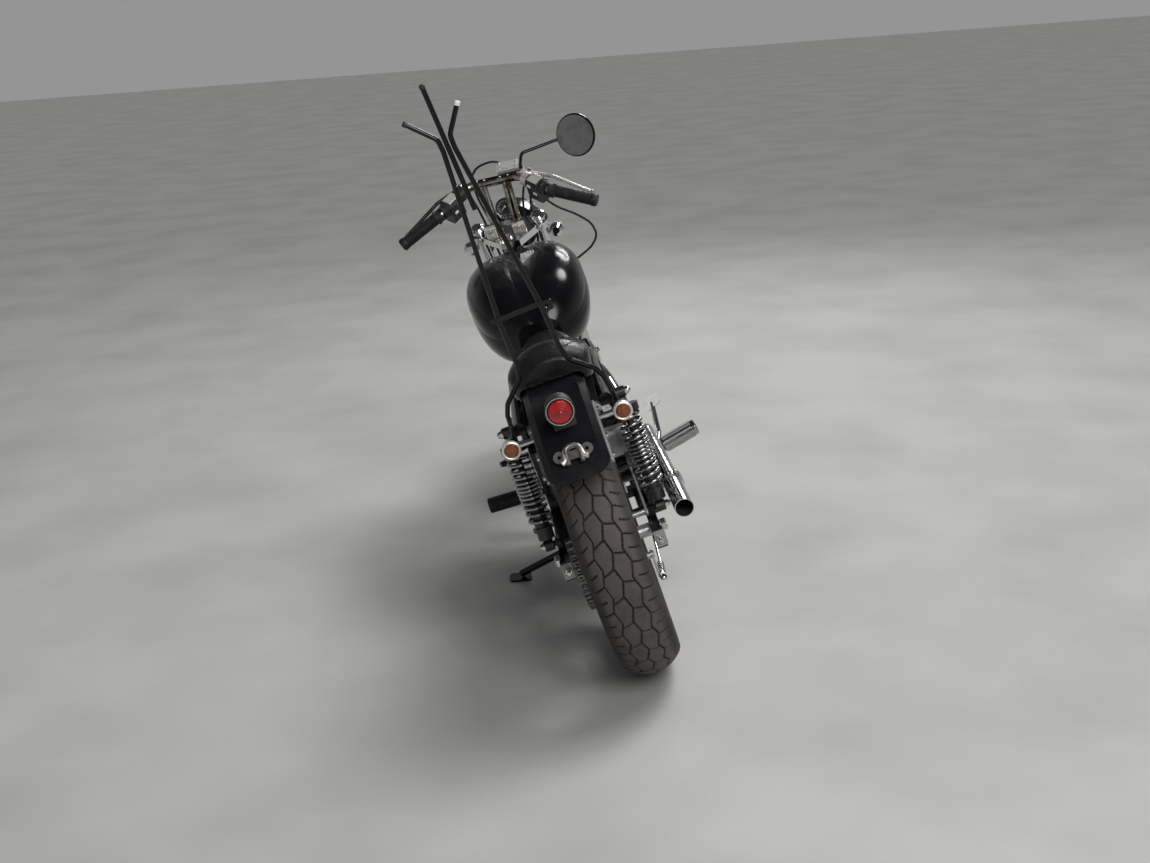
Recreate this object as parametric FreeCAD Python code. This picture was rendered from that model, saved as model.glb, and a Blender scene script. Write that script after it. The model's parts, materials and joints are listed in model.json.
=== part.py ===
import FreeCAD, Part
import os
from math import asin, atan2, cos, degrees, pi, radians, sin, sqrt, tan

# Small V-twin cruiser motorcycle leaning on its side stand, in millimetres.
# It is drawn upright in the bike's own frame: X to the rider's right, Y forward, Z up, with the
# rear axle over Y = 0 and the ground at Z = 0. Fork, bar and front wheel are drawn with the
# steering axis upright, then tipped back. At the end the whole bike is leaned to its left.
V = FreeCAD.Vector
X_AXIS = V(1, 0, 0)
Y_AXIS = V(0, 1, 0)
Z_AXIS = V(0, 0, 1)

# Stance
LEAN = 15.5                  # degrees to the left, on the side stand
STEER = -10.0                # degrees, handlebar turned to the right
WHEELBASE = 1485.0
RAKE = 35.0
FORK_LEAD = 67.0             # front axle ahead of the steering axis
SEAT_GAP = 0.3               # gap between pieces that bear on each other
RUN_GAP = 5.0                # gap between pieces that move past each other

# Wheels
REAR_SEAT_R = 193.0          # rim radius at the tyre's bead
REAR_SECTION = 112.0         # height of the tyre above it
REAR_W = 138.0
REAR_CROWN = 82.0            # radius across the tread
REAR_SHOULDER = 42.0         # degrees from the crown to the tread's edge
FRONT_SEAT_R = 229.0
FRONT_SECTION = 86.0
FRONT_W = 90.0
FRONT_CROWN = 50.0
FRONT_SHOULDER = 45.0
SPOKES = 18                  # on each side
SPOKE_SIDE = 4.0
AXLE_R = 8.5
HUB_HALF = 50.0
REAR_HUB_R = 60.0
FRONT_HUB_R = 40.0
DRUM_R = 84.0
DISC_R = 130.0
DISC_T = 4.0
WINDOWS = 6                  # round openings in disc and sprocket
WINDOW_R = 22.0

# Swingarm, rear brake and shocks
ARM_IN = 95.0
ARM_OUT = 117.0
PIVOT = V(0, 430, 330)
PIVOT_R = 8.0
PANEL_X = HUB_HALF + 3
TORQUE_REAR = V(PANEL_X, 16, 346)
TORQUE_FRONT = V(PANEL_X, 106, 412)
TORQUE_PIN_R = 6.0
SHOCK_X = 133.0
SHOCK_LOW = V(SHOCK_X, 28, 342)
SHOCK_HIGH = V(SHOCK_X, 66, 614)
EYE_R = 13.0
EYE_HALF = 10.0
STUD_R = 7.0
COILS = 10

# Drive
PITCH = 15.875
REAR_TEETH = 48
FRONT_TEETH = 15
FRONT_SPROCKET = V(0, 548, 348)
SPROCKET_T = 6.0
CHAIN_X = -83.0
CHAIN_INNER = 9.6            # between the chain's plates
LINK_T = 3.4
LINK_HALF = 6.5              # half height of a link plate
GUARD_T = 2.0
GUARD_SIDE = 24.0            # height of the guard's outer side
GUARD_FRONT = 372.0
GUARD_WRAP = 50.0            # degrees that the guard follows the sprocket down behind
CHAIN_FALL = 0.078           # slope of the chain's upper run

# Frame
TUBE_R = 14.0
SPINE_R = 22.0
HEAD_R = 27.0
STEM_R = 12.0
HEAD_LOW = 515.0             # places along the steering axis, from the foot of the front axle
HEAD_HIGH = 698.0
RAIL_X = 98.0
RAIL_Z = 640.0
CRADLE_X = 95.0
CRADLE_Z = 175.0
CROSS_Y = 372.0

# Engine
CRANK = V(0, 640, 335)
V_HALF_ANGLE = 30.0
CASE_HALF = 70.0
CASE_LOW = 205.0
CASE_OUTLINE = [(500, 250), (500, 400), (545, 440), (735, 440), (800, 395), (812, 260),
                (760, CASE_LOW), (550, CASE_LOW)]
BARREL_FINS = 6
HEAD_FINS = 3
FIN_LOW = 128.0              # first fin, from the crank
FIN_PITCH = 10.0
FIN_T = 3.0
AIR_CLEANER = V(92, 620, 577)
AIR_TILT = 9.6               # degrees that its face looks up
PIPE_R = 19.0
TIP_R = 22.0
TIP_START = V(177, 92, 364)
TIP_END = V(180, -62, 352)

# Tank sections from front to rear: place, half width, top, waist, underside and middle dip
TANK = [(952, 60, 846, 806, 768, 4),
        (880, 118, 856, 790, 702, 10),
        (760, 154, 870, 784, 654, 15),
        (620, 148, 854, 755, 642, 12),
        (545, 126, 822, 730, 646, 6),
        (500, 94, 780, 714, 656, 3),
        (474, 54, 738, 702, 668, 2)]
TANK_TURN_IN = 0.72          # width of the underside, as a share of the section's
TANK_LOBE = 0.55             # places of a lobe's top and of the dip's edge, likewise
TANK_DIP = 0.16
POD = V(38, 800, 838)

# Rear fender, and what it carries
FENDER_C = V(0, 0, 382)
FENDER_R = 345.0
FENDER_HALF = 68.0
FENDER_SKIRT = 46.0
FENDER_T = 3.0
FENDER_FROM = 35.0           # degrees up from straight ahead
FENDER_SWEEP = 111.4
LIP_ROUND = 34.0
STAY_T = 5.0
TAIL_ANGLE = 126.0
TAIL_OUT = 56.0
TAIL_X = 3.0
PLATE_ANGLE = 47.5           # tilt of the plate bracket's face, tangent to the fender
PLATE_T = 2.5
PLATE_HOLE_X = 29.5
PLATE_HOLE_R = 4.2
LAMP_R = 20.0
LENS_R = 16.2
REAR_SIGNAL = V(124, -132, 633)

# Saddle sections from rear to front: place, half width, top, edge and underside
SEAT_X = 6.0                 # it sits a little to the right
SEAT = [(-62, 70, 770, 728, 704),
        (-25, 94, 793, 745, 694),
        (20, 96, 793, 745, 684),
        (80, 92, 766, 728, 672),
        (140, 96, 737, 718, 665),
        (240, 104, 717, 704, 665),
        (350, 84, 716, 702, 665),
        (430, 50, 727, 712, 668),
        (464, 34, 722, 710, 676)]

# Back rest, drawn in its own plane: half widths and heights of a leg, then each prong's end
SISSY_X = 4.0
SISSY_Y = -84.0
SISSY_LEAN = 0.13            # run to the rear per rise
SISSY_CANT = 2.5             # degrees out of upright, as the real one is
SISSY_R = 5.2
SISSY_FOOT_Y = -96.0
SISSY_LEG = [(117, 628), (110, 700), (100, 724), (55, 766), (48, 800), (47, 890), (12, 1262),
             (13, 1288)]
SISSY_PRONGS = {-1: (61, 1341), 1: (51, 1340)}
SISSY_MIDDLE = (1134, 1394)
TAB_HOLE = (57.5, 894.5)
TAB_HOLE_R = 4.5
TAB_T = 4.0

# Foot controls and stand
PEG_Y = 600.0
PEG_Z = 280.0
PEG_IN = 198.0
PEG_R = 20.0
PEG_LENGTH = {-1: 92.0, 1: 103.0}     # each side's rubber as the photograph shows it
PEG_RISE = {-1: 3.0, 1: 11.0}         # degrees
STAND_PIVOT = V(-112, 490, 143)
STAND_FOOT = V(-274, 560, 274 * tan(radians(LEAN)))
STAND_STOWED = V(-0.17, -1, 0.02)
STAND_PIN_R = 5.0

# Fork and what it carries
YOKE_HALF = 88.0             # fork legs from the middle
YOKE_OFFSET = 40.0           # fork legs ahead of the steering axis
YOKE_LOW = 476.0
YOKE_HIGH = 704.0
YOKE_LOW_T = 30.0
YOKE_HIGH_T = 24.0
YOKE_R = 26.0
FORK_TUBE_R = 17.0
SLIDER_R = 23.0
SLIDER_TOP = 330.0
FRONT_FENDER_R = 333.0
FRONT_FENDER_SIDE = 13.0     # from fender to slider
BAR_R = 12.7
GRIP_R = 16.5
BAR_TOP = V(72, 66, 878)
BAR_BEND = V(150, -18, 881)
BAR_END = V(269, -67, 850)
MIRROR = V(251, 90, 950)
MIRROR_R = 58.0
MIRROR_FACE = V(-0.38, -0.72, 0.575)
HEADLIGHT = V(0, 150, 612)
HEADLIGHT_R = 74.0
FRONT_SIGNAL = V(YOKE_HALF + 38, YOKE_OFFSET, 670)
LEVEL_AHEAD = V(0, cos(radians(RAKE)), -sin(radians(RAKE)))
CABLE_R = 3.2
CABLE_BEND = 200.0
CABLES = {
    "throttle": [(124, 16, 858), (128, 20, 812), (150, 21, 775), (194, 22, 731), (229, 22, 683),
                 (235, 18, 634), (211, 6, 605), (154, -6, 578), (100, -10, 562), (50, -8, 566)],
    "brake hose": [(36, 90.5, 898), (36, 102, 898), (12, 110, 909), (-14, 110, 908),
                   (-40, 110, 900), (-62, 108, 874), (-66, 96, 810), (-54, 81, 730),
                   (-50, 78, 610), (-44, 78, 520), (-8, 76, 452), (56, 32, 402), (90, 2, 345),
                   (92, -8, 250), (84, -16, 132.4)],
    "clutch": [(-96, 79, 870), (-96, 92, 864), (-84, 96, 826), (-74, 88, 770), (-66, 75, 700),
               (-62, 74, 600), (-56, 52, 540), (-56, 50, 506.5)],
    "left wire": [(84, 64, 857), (73, 68, 828), (60, 70, 786), (47, 70, 723), (39, 70, 663),
                  (37, 66, 590), (38, 50, 540), (38, 50, 506.5)],
    "right wire": [(98, 50, 857), (86, 64, 806), (71, 70, 735), (73, 70, 690), (62, 71, 630),
                   (56, 66, 590), (56, 50, 540), (56, 50, 506.5)],
}

parts = {}

LEANED = FreeCAD.Rotation(Y_AXIS, -LEAN)
TIPPED = FreeCAD.Rotation(X_AXIS, RAKE)
STEERED_ROT = TIPPED * FreeCAD.Rotation(Z_AXIS, STEER)


def axle_height(radius, crown, axis, offset):
    """Height in the bike's frame at which the leaning tyre's crown just meets the ground.

    The axis is the wheel's axle once parked, the offset how far the hub lies from the point
    whose height is asked.
    """
    ring = radius - crown
    return (ring * sqrt(1 - axis.z ** 2) + crown - offset.z) / cos(radians(LEAN))


REAR_R = REAR_SEAT_R + REAR_SECTION
FRONT_R = FRONT_SEAT_R + FRONT_SECTION
REAR_Z = axle_height(REAR_R, REAR_CROWN, LEANED.multVec(X_AXIS), V(0, 0, 0))
FRONT_TURNED = LEANED.multVec(STEERED_ROT.multVec(X_AXIS))
FRONT_CAMBER = degrees(asin(FRONT_TURNED.z))
LEAD_SWING = STEERED_ROT.multVec(V(0, FORK_LEAD, 0)) - TIPPED.multVec(V(0, FORK_LEAD, 0))
FRONT_Z = axle_height(FRONT_R, FRONT_CROWN, FRONT_TURNED, LEANED.multVec(LEAD_SWING))
REAR_AXLE = V(0, 0, REAR_Z)
FRONT_AXLE = V(0, WHEELBASE, FRONT_Z)
FRONT_HUB = V(0, FORK_LEAD, 0)      # in the upright steering frame

# Steering axis, and its foot: the point square across from the front axle
AXIS_UP = TIPPED.multVec(Z_AXIS)
AXIS_FOOT = FRONT_AXLE - TIPPED.multVec(V(0, FORK_LEAD, 0))
HEAD = AXIS_FOOT + AXIS_UP * HEAD_LOW

SPROCKET_R = PITCH / 2 / sin(pi / REAR_TEETH)
CHAIN_OUT = CHAIN_X - CHAIN_INNER / 2 - LINK_T
DISC_X = HUB_HALF + SEAT_GAP + DISC_T
STAND_AXIS = (STAND_FOOT - STAND_PIVOT).cross(STAND_STOWED).normalize()
PLATE_OUT = V(0, -sin(radians(PLATE_ANGLE)), cos(radians(PLATE_ANGLE)))
PLATE_SEAT = FENDER_C + PLATE_OUT * (FENDER_R + 10)
LIP_ANGLE = FENDER_FROM + FENDER_SWEEP


def on_axis(height):
    """Point of the steering axis at a distance above its foot."""
    return AXIS_FOOT + AXIS_UP * height


def on_fender(angle, out):
    """Point outside the rear fender, at an angle up from straight ahead."""
    return FENDER_C + V(0, cos(radians(angle)), sin(radians(angle))) * (FENDER_R + out)


# Basic shapes

def rod(a, b, r):
    return Part.makeCylinder(r, (b - a).Length, a, b - a)


def cross_rod(x0, x1, centre, r):
    """Round bar along X at the height and place of a centre."""
    return rod(V(x0, centre.y, centre.z), V(x1, centre.y, centre.z), r)


def pipe(a, b, r, bore):
    return rod(a, b, r).cut(rod(a, b, bore))


def box(x0, x1, y0, y1, z0, z1):
    return Part.makeBox(x1 - x0, y1 - y0, z1 - z0, V(x0, y0, z0))


def fuse(shapes):
    return shapes[0].multiFuse(shapes[1:]).removeSplitter()


def cut_all(shape, tools):
    return shape.cut(Part.makeCompound(tools))


def path(points, radius, closed=False):
    """Straight runs joined by tangent arcs of the radius, or less where a run is short."""
    n = len(points)
    corners = range(n) if closed else range(1, n - 1)
    arcs = {}
    for i in corners:
        a, p, b = points[i - 1], points[i], points[(i + 1) % n]
        u, w = (a - p), (b - p)
        half = u.getAngle(w) / 2
        reach = min(radius / tan(half), 0.45 * min(u.Length, w.Length))
        u.normalize()
        w.normalize()
        r = reach * tan(half)
        mid = p + (u + w).normalize() * (r / sin(half) - r)
        arcs[i] = (p + u * reach, mid, p + w * reach)
    edges = []
    start = arcs[0][2] if closed else points[0]
    for i in (list(range(1, n)) + [0]) if closed else range(1, n):
        if i in arcs:
            edges.append(Part.LineSegment(start, arcs[i][0]).toShape())
            edges.append(Part.Arc(*arcs[i]).toShape())
            start = arcs[i][2]
        else:
            edges.append(Part.LineSegment(start, points[i]).toShape())
    return Part.Wire(edges)


def bent_rod(points, r, bend):
    """Round bar along straight runs with bends of the radius."""
    ring = Part.Wire(Part.Circle(points[0], points[1] - points[0], r).toShape())
    return path(points, bend).makePipeShell([ring], True, False)


def plate(points, radius, thick):
    """Flat plate with rounded corners, from its outline and a thickness vector."""
    return Part.Face(path(points, radius, True)).extrude(thick)


def side_plate(outline, radius, x0, x1):
    """Plate square to X, from an outline of (y, z) pairs."""
    return plate([V(x0, y, z) for y, z in outline], radius, V(x1 - x0, 0, 0))


def flat_plate(half_x, half_y, z, thick, radius):
    """Level plate about the Z axis, from its half sizes."""
    corners = [(-1, -1), (1, -1), (1, 1), (-1, 1)]
    return plate([V(half_x * a, half_y * b, z) for a, b in corners], radius, V(0, 0, thick))


def turned(profile, base, direction, angle=360, start=0):
    """Solid of revolution from (radius, height) pairs, set on a base along a direction."""
    face = Part.Face(Part.makePolygon([V(r, 0, h) for r, h in profile + profile[:1]]))
    solid = face.revolve(V(0, 0, 0), Z_AXIS, angle)
    turn = FreeCAD.Rotation(Z_AXIS, direction) * FreeCAD.Rotation(Z_AXIS, start)
    solid.Placement = FreeCAD.Placement(base, turn)
    return solid


def wheel_ring(profile, centre):
    """Ring round a wheel's axle, from (x, radius) pairs."""
    return turned([(r, x) for x, r in profile], centre, X_AXIS)


def arched(profile, centre, start, sweep):
    """Part of a ring round an X axis, from (x, radius) pairs; start in degrees up from ahead."""
    shell = turned([(r, x) for x, r in profile], V(0, 0, 0), X_AXIS, sweep)
    shell.rotate(V(0, 0, 0), X_AXIS, start + 90)
    shell.translate(centre)
    return shell


def opposite(p):
    """The point across X = 0."""
    return V(-p.x, p.y, p.z)


def mirrored(shape):
    return shape.mirror(V(0, 0, 0), X_AXIS)


def both_sides(shape):
    """The piece and its mirror image on the other side, as two solids in one shape."""
    return Part.makeCompound([shape, mirrored(shape)])


def symmetric(half):
    """Closes a half outline of (x, value) pairs about X = 0."""
    return half + [(-x, v) for x, v in reversed(half)]


def ring_windows(centre, radius, x0, x1):
    """Round openings spaced evenly on a circle round an axle."""
    turns = [2 * pi * i / WINDOWS for i in range(WINDOWS)]
    spots = [centre + V(0, radius * cos(a), radius * sin(a)) for a in turns]
    return [cross_rod(x0, x1, spot, WINDOW_R) for spot in spots]


def lamp(base, direction, start):
    """Round signal lamp: its shell with a stub towards the base, and its lens."""
    shell = turned([(0, 0), (10, 0), (LAMP_R, 14), (LAMP_R, 36), (LENS_R + SEAT_GAP, 36),
                    (LENS_R + SEAT_GAP, 30), (0, 30)], base, direction, 360, start)
    lens = turned([(0, 30 + SEAT_GAP), (LENS_R, 30 + SEAT_GAP), (LENS_R, 36), (11, 41), (0, 43)],
                  base, direction, 360, start)
    return shell, lens


# Wheels

def tyre(centre, seat_r, section, width, crown, shoulder, camber):
    """Tyre ring with a crowned tread, faceted at the camber angle where it meets the ground."""
    top = seat_r + section - crown
    tread = [(crown * sin(radians(a)), top + crown * cos(radians(a))) for a in (camber, shoulder)]
    bead = width / 3
    half = tread + [(width / 2, seat_r + section * 0.58), (bead, seat_r + 13), (bead, seat_r)]
    return wheel_ring(symmetric(half), centre)


def wire_wheel(centre, seat_r, width, hub_r):
    """Rim, hub and crossed spokes of a wire wheel as one solid."""
    bead = width / 3
    flange = bead + SEAT_GAP
    rim = wheel_ring(symmetric([(flange, seat_r - SEAT_GAP), (flange, seat_r + 10),
                                (flange + 3, seat_r + 10), (flange + 3, seat_r - 6),
                                (bead * 0.6, seat_r - 12)]), centre)
    bore = AXLE_R + SEAT_GAP
    waist = hub_r * 0.6
    hub = turned([(bore, -HUB_HALF), (hub_r, -HUB_HALF), (hub_r, 5 - HUB_HALF),
                  (waist, 9 - HUB_HALF), (waist, HUB_HALF - 9), (hub_r, HUB_HALF - 5),
                  (hub_r, HUB_HALF), (bore, HUB_HALF)], centre, X_AXIS)
    foot_r = hub_r - 4
    nipple_r = seat_r - 9
    spokes = []
    for i in range(2 * SPOKES):
        side = 1 if i % 2 else -1
        turn = pi * i / SPOKES
        foot = turn + (0.5 if (i // 2) % 2 else -0.5)
        low = centre + V(side * (HUB_HALF - 3), foot_r * cos(foot), foot_r * sin(foot))
        high = centre + V(side * 6, nipple_r * cos(turn), nipple_r * sin(turn))
        along = high - low
        across = along.cross(X_AXIS).normalize() * SPOKE_SIDE
        other = along.cross(across).normalize() * SPOKE_SIDE
        corner = low - across * 0.5 - other * 0.5
        outline = [corner, corner + across, corner + across + other, corner + other, corner]
        spokes.append(Part.Face(Part.makePolygon(outline)).extrude(along))
    return fuse([rim, hub] + spokes)


def rear_wheel():
    parts["rear_tyre"] = tyre(REAR_AXLE, REAR_SEAT_R, REAR_SECTION, REAR_W, REAR_CROWN,
                              REAR_SHOULDER, LEAN)
    wheel = wire_wheel(REAR_AXLE, REAR_SEAT_R, REAR_W, REAR_HUB_R)
    drum = turned([(40, 12), (DRUM_R, 20), (DRUM_R, HUB_HALF), (40, HUB_HALF)], REAR_AXLE, X_AXIS)
    carrier = pipe(REAR_AXLE + X_AXIS * (CHAIN_X + SPROCKET_T / 2 + SEAT_GAP),
                   REAR_AXLE - X_AXIS * (HUB_HALF - 1), 45, AXLE_R + SEAT_GAP)
    parts["rear_wheel"] = fuse([wheel, drum, carrier])
    parts["rear_sprocket"] = sprocket(V(CHAIN_X, 0, REAR_Z))


def sprocket(centre):
    """Toothed ring: each tooth stands midway between two chain pins."""
    tooth = [(-4.4, -5.6), (-1.4, 4.5), (1.4, 4.5), (4.4, -5.6)]
    outline = []
    for i in range(REAR_TEETH):
        middle = 2 * pi * (i + 0.5) / REAR_TEETH
        for along, rise in tooth:
            r = SPROCKET_R + rise
            turn = middle + along / r
            outline.append(centre + V(-SPROCKET_T / 2, r * cos(turn), r * sin(turn)))
    ring = Part.Face(Part.makePolygon(outline + outline[:1])).extrude(V(SPROCKET_T, 0, 0))
    x0, x1 = centre.x - SPROCKET_T, centre.x + SPROCKET_T
    hole = cross_rod(x0, x1, centre, AXLE_R + SEAT_GAP)
    return cut_all(ring, [hole] + ring_windows(centre, 78, x0, x1))


def front_wheel():
    parts["front_tyre"] = tyre(FRONT_HUB, FRONT_SEAT_R, FRONT_SECTION, FRONT_W, FRONT_CROWN,
                               FRONT_SHOULDER, FRONT_CAMBER)
    parts["front_wheel"] = wire_wheel(FRONT_HUB, FRONT_SEAT_R, FRONT_W, FRONT_HUB_R)
    face = cross_rod(DISC_X - DISC_T / 2, DISC_X + DISC_T / 2, FRONT_HUB, DISC_R)
    boss = cross_rod(DISC_X - DISC_T, DISC_X + DISC_T, FRONT_HUB, 34)
    hole = cross_rod(HUB_HALF, DISC_X + 15, FRONT_HUB, AXLE_R + SEAT_GAP)
    windows = ring_windows(FRONT_HUB, 66, HUB_HALF - 5, DISC_X + 15)
    parts["front_disc"] = cut_all(fuse([face, boss]), windows + [hole])


# Swingarm, rear brake and shocks

def swingarm():
    z = REAR_Z
    arm = side_plate([(-60, z - 19), (-60, z + 19), (330, PIVOT.z + 22), (452, PIVOT.z + 20),
                      (452, PIVOT.z - 20), (330, PIVOT.z - 25)], 8, ARM_IN, ARM_OUT)
    end = box(ARM_IN, ARM_OUT + 2, -72, -60, z - 23, z + 23)
    eye_top = SHOCK_LOW.z + 12
    ear = side_plate([(8, z + 10), (14, eye_top), (42, eye_top), (60, z + 10)], 5,
                     ARM_IN + 8, ARM_OUT)
    stud = cross_rod(ARM_OUT - 4, SHOCK_X + 12, SHOCK_LOW, STUD_R)
    half = fuse([arm, end, ear, stud])
    tube = cross_rod(-ARM_IN - 1, ARM_IN + 1, PIVOT, 20)
    brace = cross_rod(-ARM_IN - 1, ARM_IN + 1, PIVOT + V(0, -78, -8), 14)
    anchor = side_plate([(88, 330), (94, 424), (118, 424), (130, 330)], 8, 104, 110)
    pin = cross_rod(95, 106, TORQUE_FRONT, TORQUE_PIN_R)
    bores = [cross_rod(-140, 140, PIVOT, PIVOT_R + SEAT_GAP),
             cross_rod(-140, 140, REAR_AXLE, AXLE_R + SEAT_GAP)]
    parts["swingarm"] = cut_all(fuse([half, mirrored(half), tube, brace, anchor, pin]), bores)


def rear_brake():
    """Axle with its nuts and spacers, the brake panel that closes the drum, and its strap."""
    axle = cross_rod(-ARM_OUT - 16, ARM_OUT + 16, REAR_AXLE, AXLE_R)
    nuts = [cross_rod(s * (ARM_OUT + SEAT_GAP), s * (ARM_OUT + 12), REAR_AXLE, 13)
            for s in (-1, 1)]
    panel = turned([(0, 0), (DRUM_R - 2, 0), (DRUM_R - 2, 4), (50, 12), (0, 12)],
                   V(PANEL_X, 0, REAR_Z), X_AXIS)
    spacers = [cross_rod(PANEL_X, ARM_IN - SEAT_GAP, REAR_AXLE, 15),
               cross_rod(-ARM_IN + SEAT_GAP, CHAIN_X - SPROCKET_T, REAR_AXLE, 15)]
    cam = cross_rod(PANEL_X + 5, PANEL_X + 30, REAR_AXLE + V(0, -12, -55), 8)
    lever = side_plate([(-22, REAR_Z - 45), (-2, REAR_Z - 45), (-2, REAR_Z - 112),
                        (-22, REAR_Z - 112)], 8, PANEL_X + 22, PANEL_X + 27)
    lug = cross_rod(PANEL_X + 2, 102.5, TORQUE_REAR, TORQUE_PIN_R)
    parts["rear_axle"] = fuse([axle, panel, cam, lever, lug] + spacers + nuts)
    along = (TORQUE_FRONT - TORQUE_REAR).normalize() * 13
    side = X_AXIS.cross(along).normalize() * 8.5
    ends = [TORQUE_REAR - along - side, TORQUE_FRONT + along - side,
            TORQUE_FRONT + along + side, TORQUE_REAR - along + side]
    strap = plate([V(97, p.y, p.z) for p in ends], 8, V(5, 0, 0))
    parts["torque_arm"] = cut_all(strap, [cross_rod(90, 110, p, TORQUE_PIN_R + SEAT_GAP)
                                          for p in (TORQUE_REAR, TORQUE_FRONT)])


def shock_absorbers():
    """Damper bodies with eyes, and the coil springs round them."""
    along = SHOCK_HIGH - SHOCK_LOW
    length = along.Length
    low = length * 0.17
    high = length * 0.83
    body = turned([(0, EYE_R - 2), (19, EYE_R + 4), (19, low - 8), (24, low - 8), (24, low),
                   (17, low), (17, length * 0.6), (8, length * 0.6), (8, high), (30, high),
                   (30, length * 0.89), (9.6, length * 0.9), (9.6, length - EYE_R + 2),
                   (0, length - EYE_R + 2)], SHOCK_LOW, along)
    ends = (SHOCK_LOW, SHOCK_HIGH)
    eyes = [cross_rod(SHOCK_X - EYE_HALF, SHOCK_X + EYE_HALF, c, EYE_R) for c in ends]
    holes = [cross_rod(SHOCK_X - 20, SHOCK_X + 20, c, STUD_R + SEAT_GAP) for c in ends]
    parts["shock_absorbers"] = both_sides(cut_all(fuse([body] + eyes), holes))
    low += SEAT_GAP
    high -= SEAT_GAP
    step = (high - low) / COILS
    outer = []
    for i in range(COILS):
        outer += [(25, low + step * i), (28.5, low + step * (i + 0.3)),
                  (28.5, low + step * (i + 0.6))]
    spring = turned([(21, low)] + outer + [(25, high), (21, high)], SHOCK_LOW, along)
    parts["shock_springs"] = both_sides(spring)


# Drive chain

def chain_line():
    """Pins in (y, z) along the pitch line, with both pitch circles and their tangent angles."""
    small = PITCH / 2 / sin(pi / FRONT_TEETH)
    run = FRONT_SPROCKET - REAR_AXLE
    tilt = atan2(run.z, run.y)
    fall = SPROCKET_R - small
    open_angle = pi / 2 - atan2(fall, sqrt(run.Length ** 2 - fall ** 2))
    upper = tilt + open_angle
    lower = tilt - open_angle
    step = 2 * pi / REAR_TEETH
    first = int(upper / step) + 1
    last = int((lower + 2 * pi) / step)
    pins = [REAR_AXLE + V(0, SPROCKET_R * cos(step * i), SPROCKET_R * sin(step * i))
            for i in range(first, last + 1)]
    turns = [lower + (upper - lower) * i / 10 for i in range(11)]
    front = [FRONT_SPROCKET + V(0, small * cos(t), small * sin(t)) for t in turns]
    rest = Part.Wire(Part.makePolygon([pins[-1]] + front + [pins[0]]))
    links = round(rest.Length / PITCH)
    pins += rest.discretize(links + 1)[1:links]
    return pins, small, upper, lower


def chain_loop(small, upper, lower, out):
    """Face inside a loop that runs a distance outside the pitch line."""
    def at(centre, r, angle):
        return centre + V(0, (r + out) * cos(angle), (r + out) * sin(angle))
    middle = (upper + lower) / 2
    rear = [at(REAR_AXLE, SPROCKET_R, a) for a in (lower, middle + pi, upper)]
    front = [at(FRONT_SPROCKET, small, a) for a in (upper, middle, lower)]
    return Part.Face(Part.Wire([Part.Arc(*rear).toShape(),
                                Part.LineSegment(rear[2], front[0]).toShape(),
                                Part.Arc(*front).toShape(),
                                Part.LineSegment(front[2], rear[0]).toShape()]))


def drive_chain():
    pins, small, upper, lower = chain_line()
    band = chain_loop(small, upper, lower, LINK_HALF).cut(
        chain_loop(small, upper, lower, -LINK_HALF))
    half = CHAIN_INNER / 2
    pieces = []
    for x in (CHAIN_X - half - LINK_T, CHAIN_X + half):
        side = band.extrude(V(LINK_T, 0, 0))
        side.translate(V(x, 0, 0))
        pieces.append(side)
    for i, pin in enumerate(pins):
        along = pins[(i + 1) % len(pins)] - pins[i - 1]
        along = along.normalize() * 4
        up = X_AXIS.cross(along)
        q = V(CHAIN_X - half, pin.y, pin.z)
        outline = [q - along, q + up, q + along, q - up, q - along]
        pieces.append(Part.Face(Part.makePolygon(outline)).extrude(V(2 * half, 0, 0)))
    parts["drive_chain"] = pieces[0].multiFuse(pieces[1:])


def chain_guard():
    """Cover over the chain's upper run that follows the sprocket down behind it."""
    r = SPROCKET_R + LINK_HALF + RUN_GAP
    top = REAR_Z + r
    front_top = top - GUARD_FRONT * CHAIN_FALL
    x0 = CHAIN_OUT - RUN_GAP - GUARD_T
    x1 = CHAIN_X + CHAIN_INNER / 2 + LINK_T + RUN_GAP
    upper = [(0, top + GUARD_T), (GUARD_FRONT, front_top + GUARD_T)]
    cover = side_plate(upper + [(GUARD_FRONT, front_top), (0, top)], 0.5, x0, x1)
    skirt = side_plate(upper + [(GUARD_FRONT, front_top - GUARD_SIDE), (0, top - GUARD_SIDE)],
                       0.5, x0, x0 + GUARD_T)
    angle_section = [(x0, r - GUARD_SIDE), (x0 + GUARD_T, r - GUARD_SIDE), (x0 + GUARD_T, r),
                     (x1, r), (x1, r + GUARD_T), (x0, r + GUARD_T)]
    wrap = arched(angle_section, REAR_AXLE, 90, GUARD_WRAP)
    foot = box(x0, x0 + GUARD_T, 326, 346, PIVOT.z + 22 + SEAT_GAP, front_top - 15)
    parts["chain_guard"] = fuse([cover, skirt, wrap, foot])


# Frame

def backbone(r):
    """Tube from the steering head to the cross tube under the seat."""
    return bent_rod([HEAD + AXIS_UP * 120, V(0, HEAD.y - 235, HEAD.z + 41),
                     V(0, CROSS_Y, RAIL_Z)], r, 60)


def cross_tube(r):
    return rod(V(-RAIL_X, CROSS_Y, RAIL_Z), V(RAIL_X, CROSS_Y, RAIL_Z), r)


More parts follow.
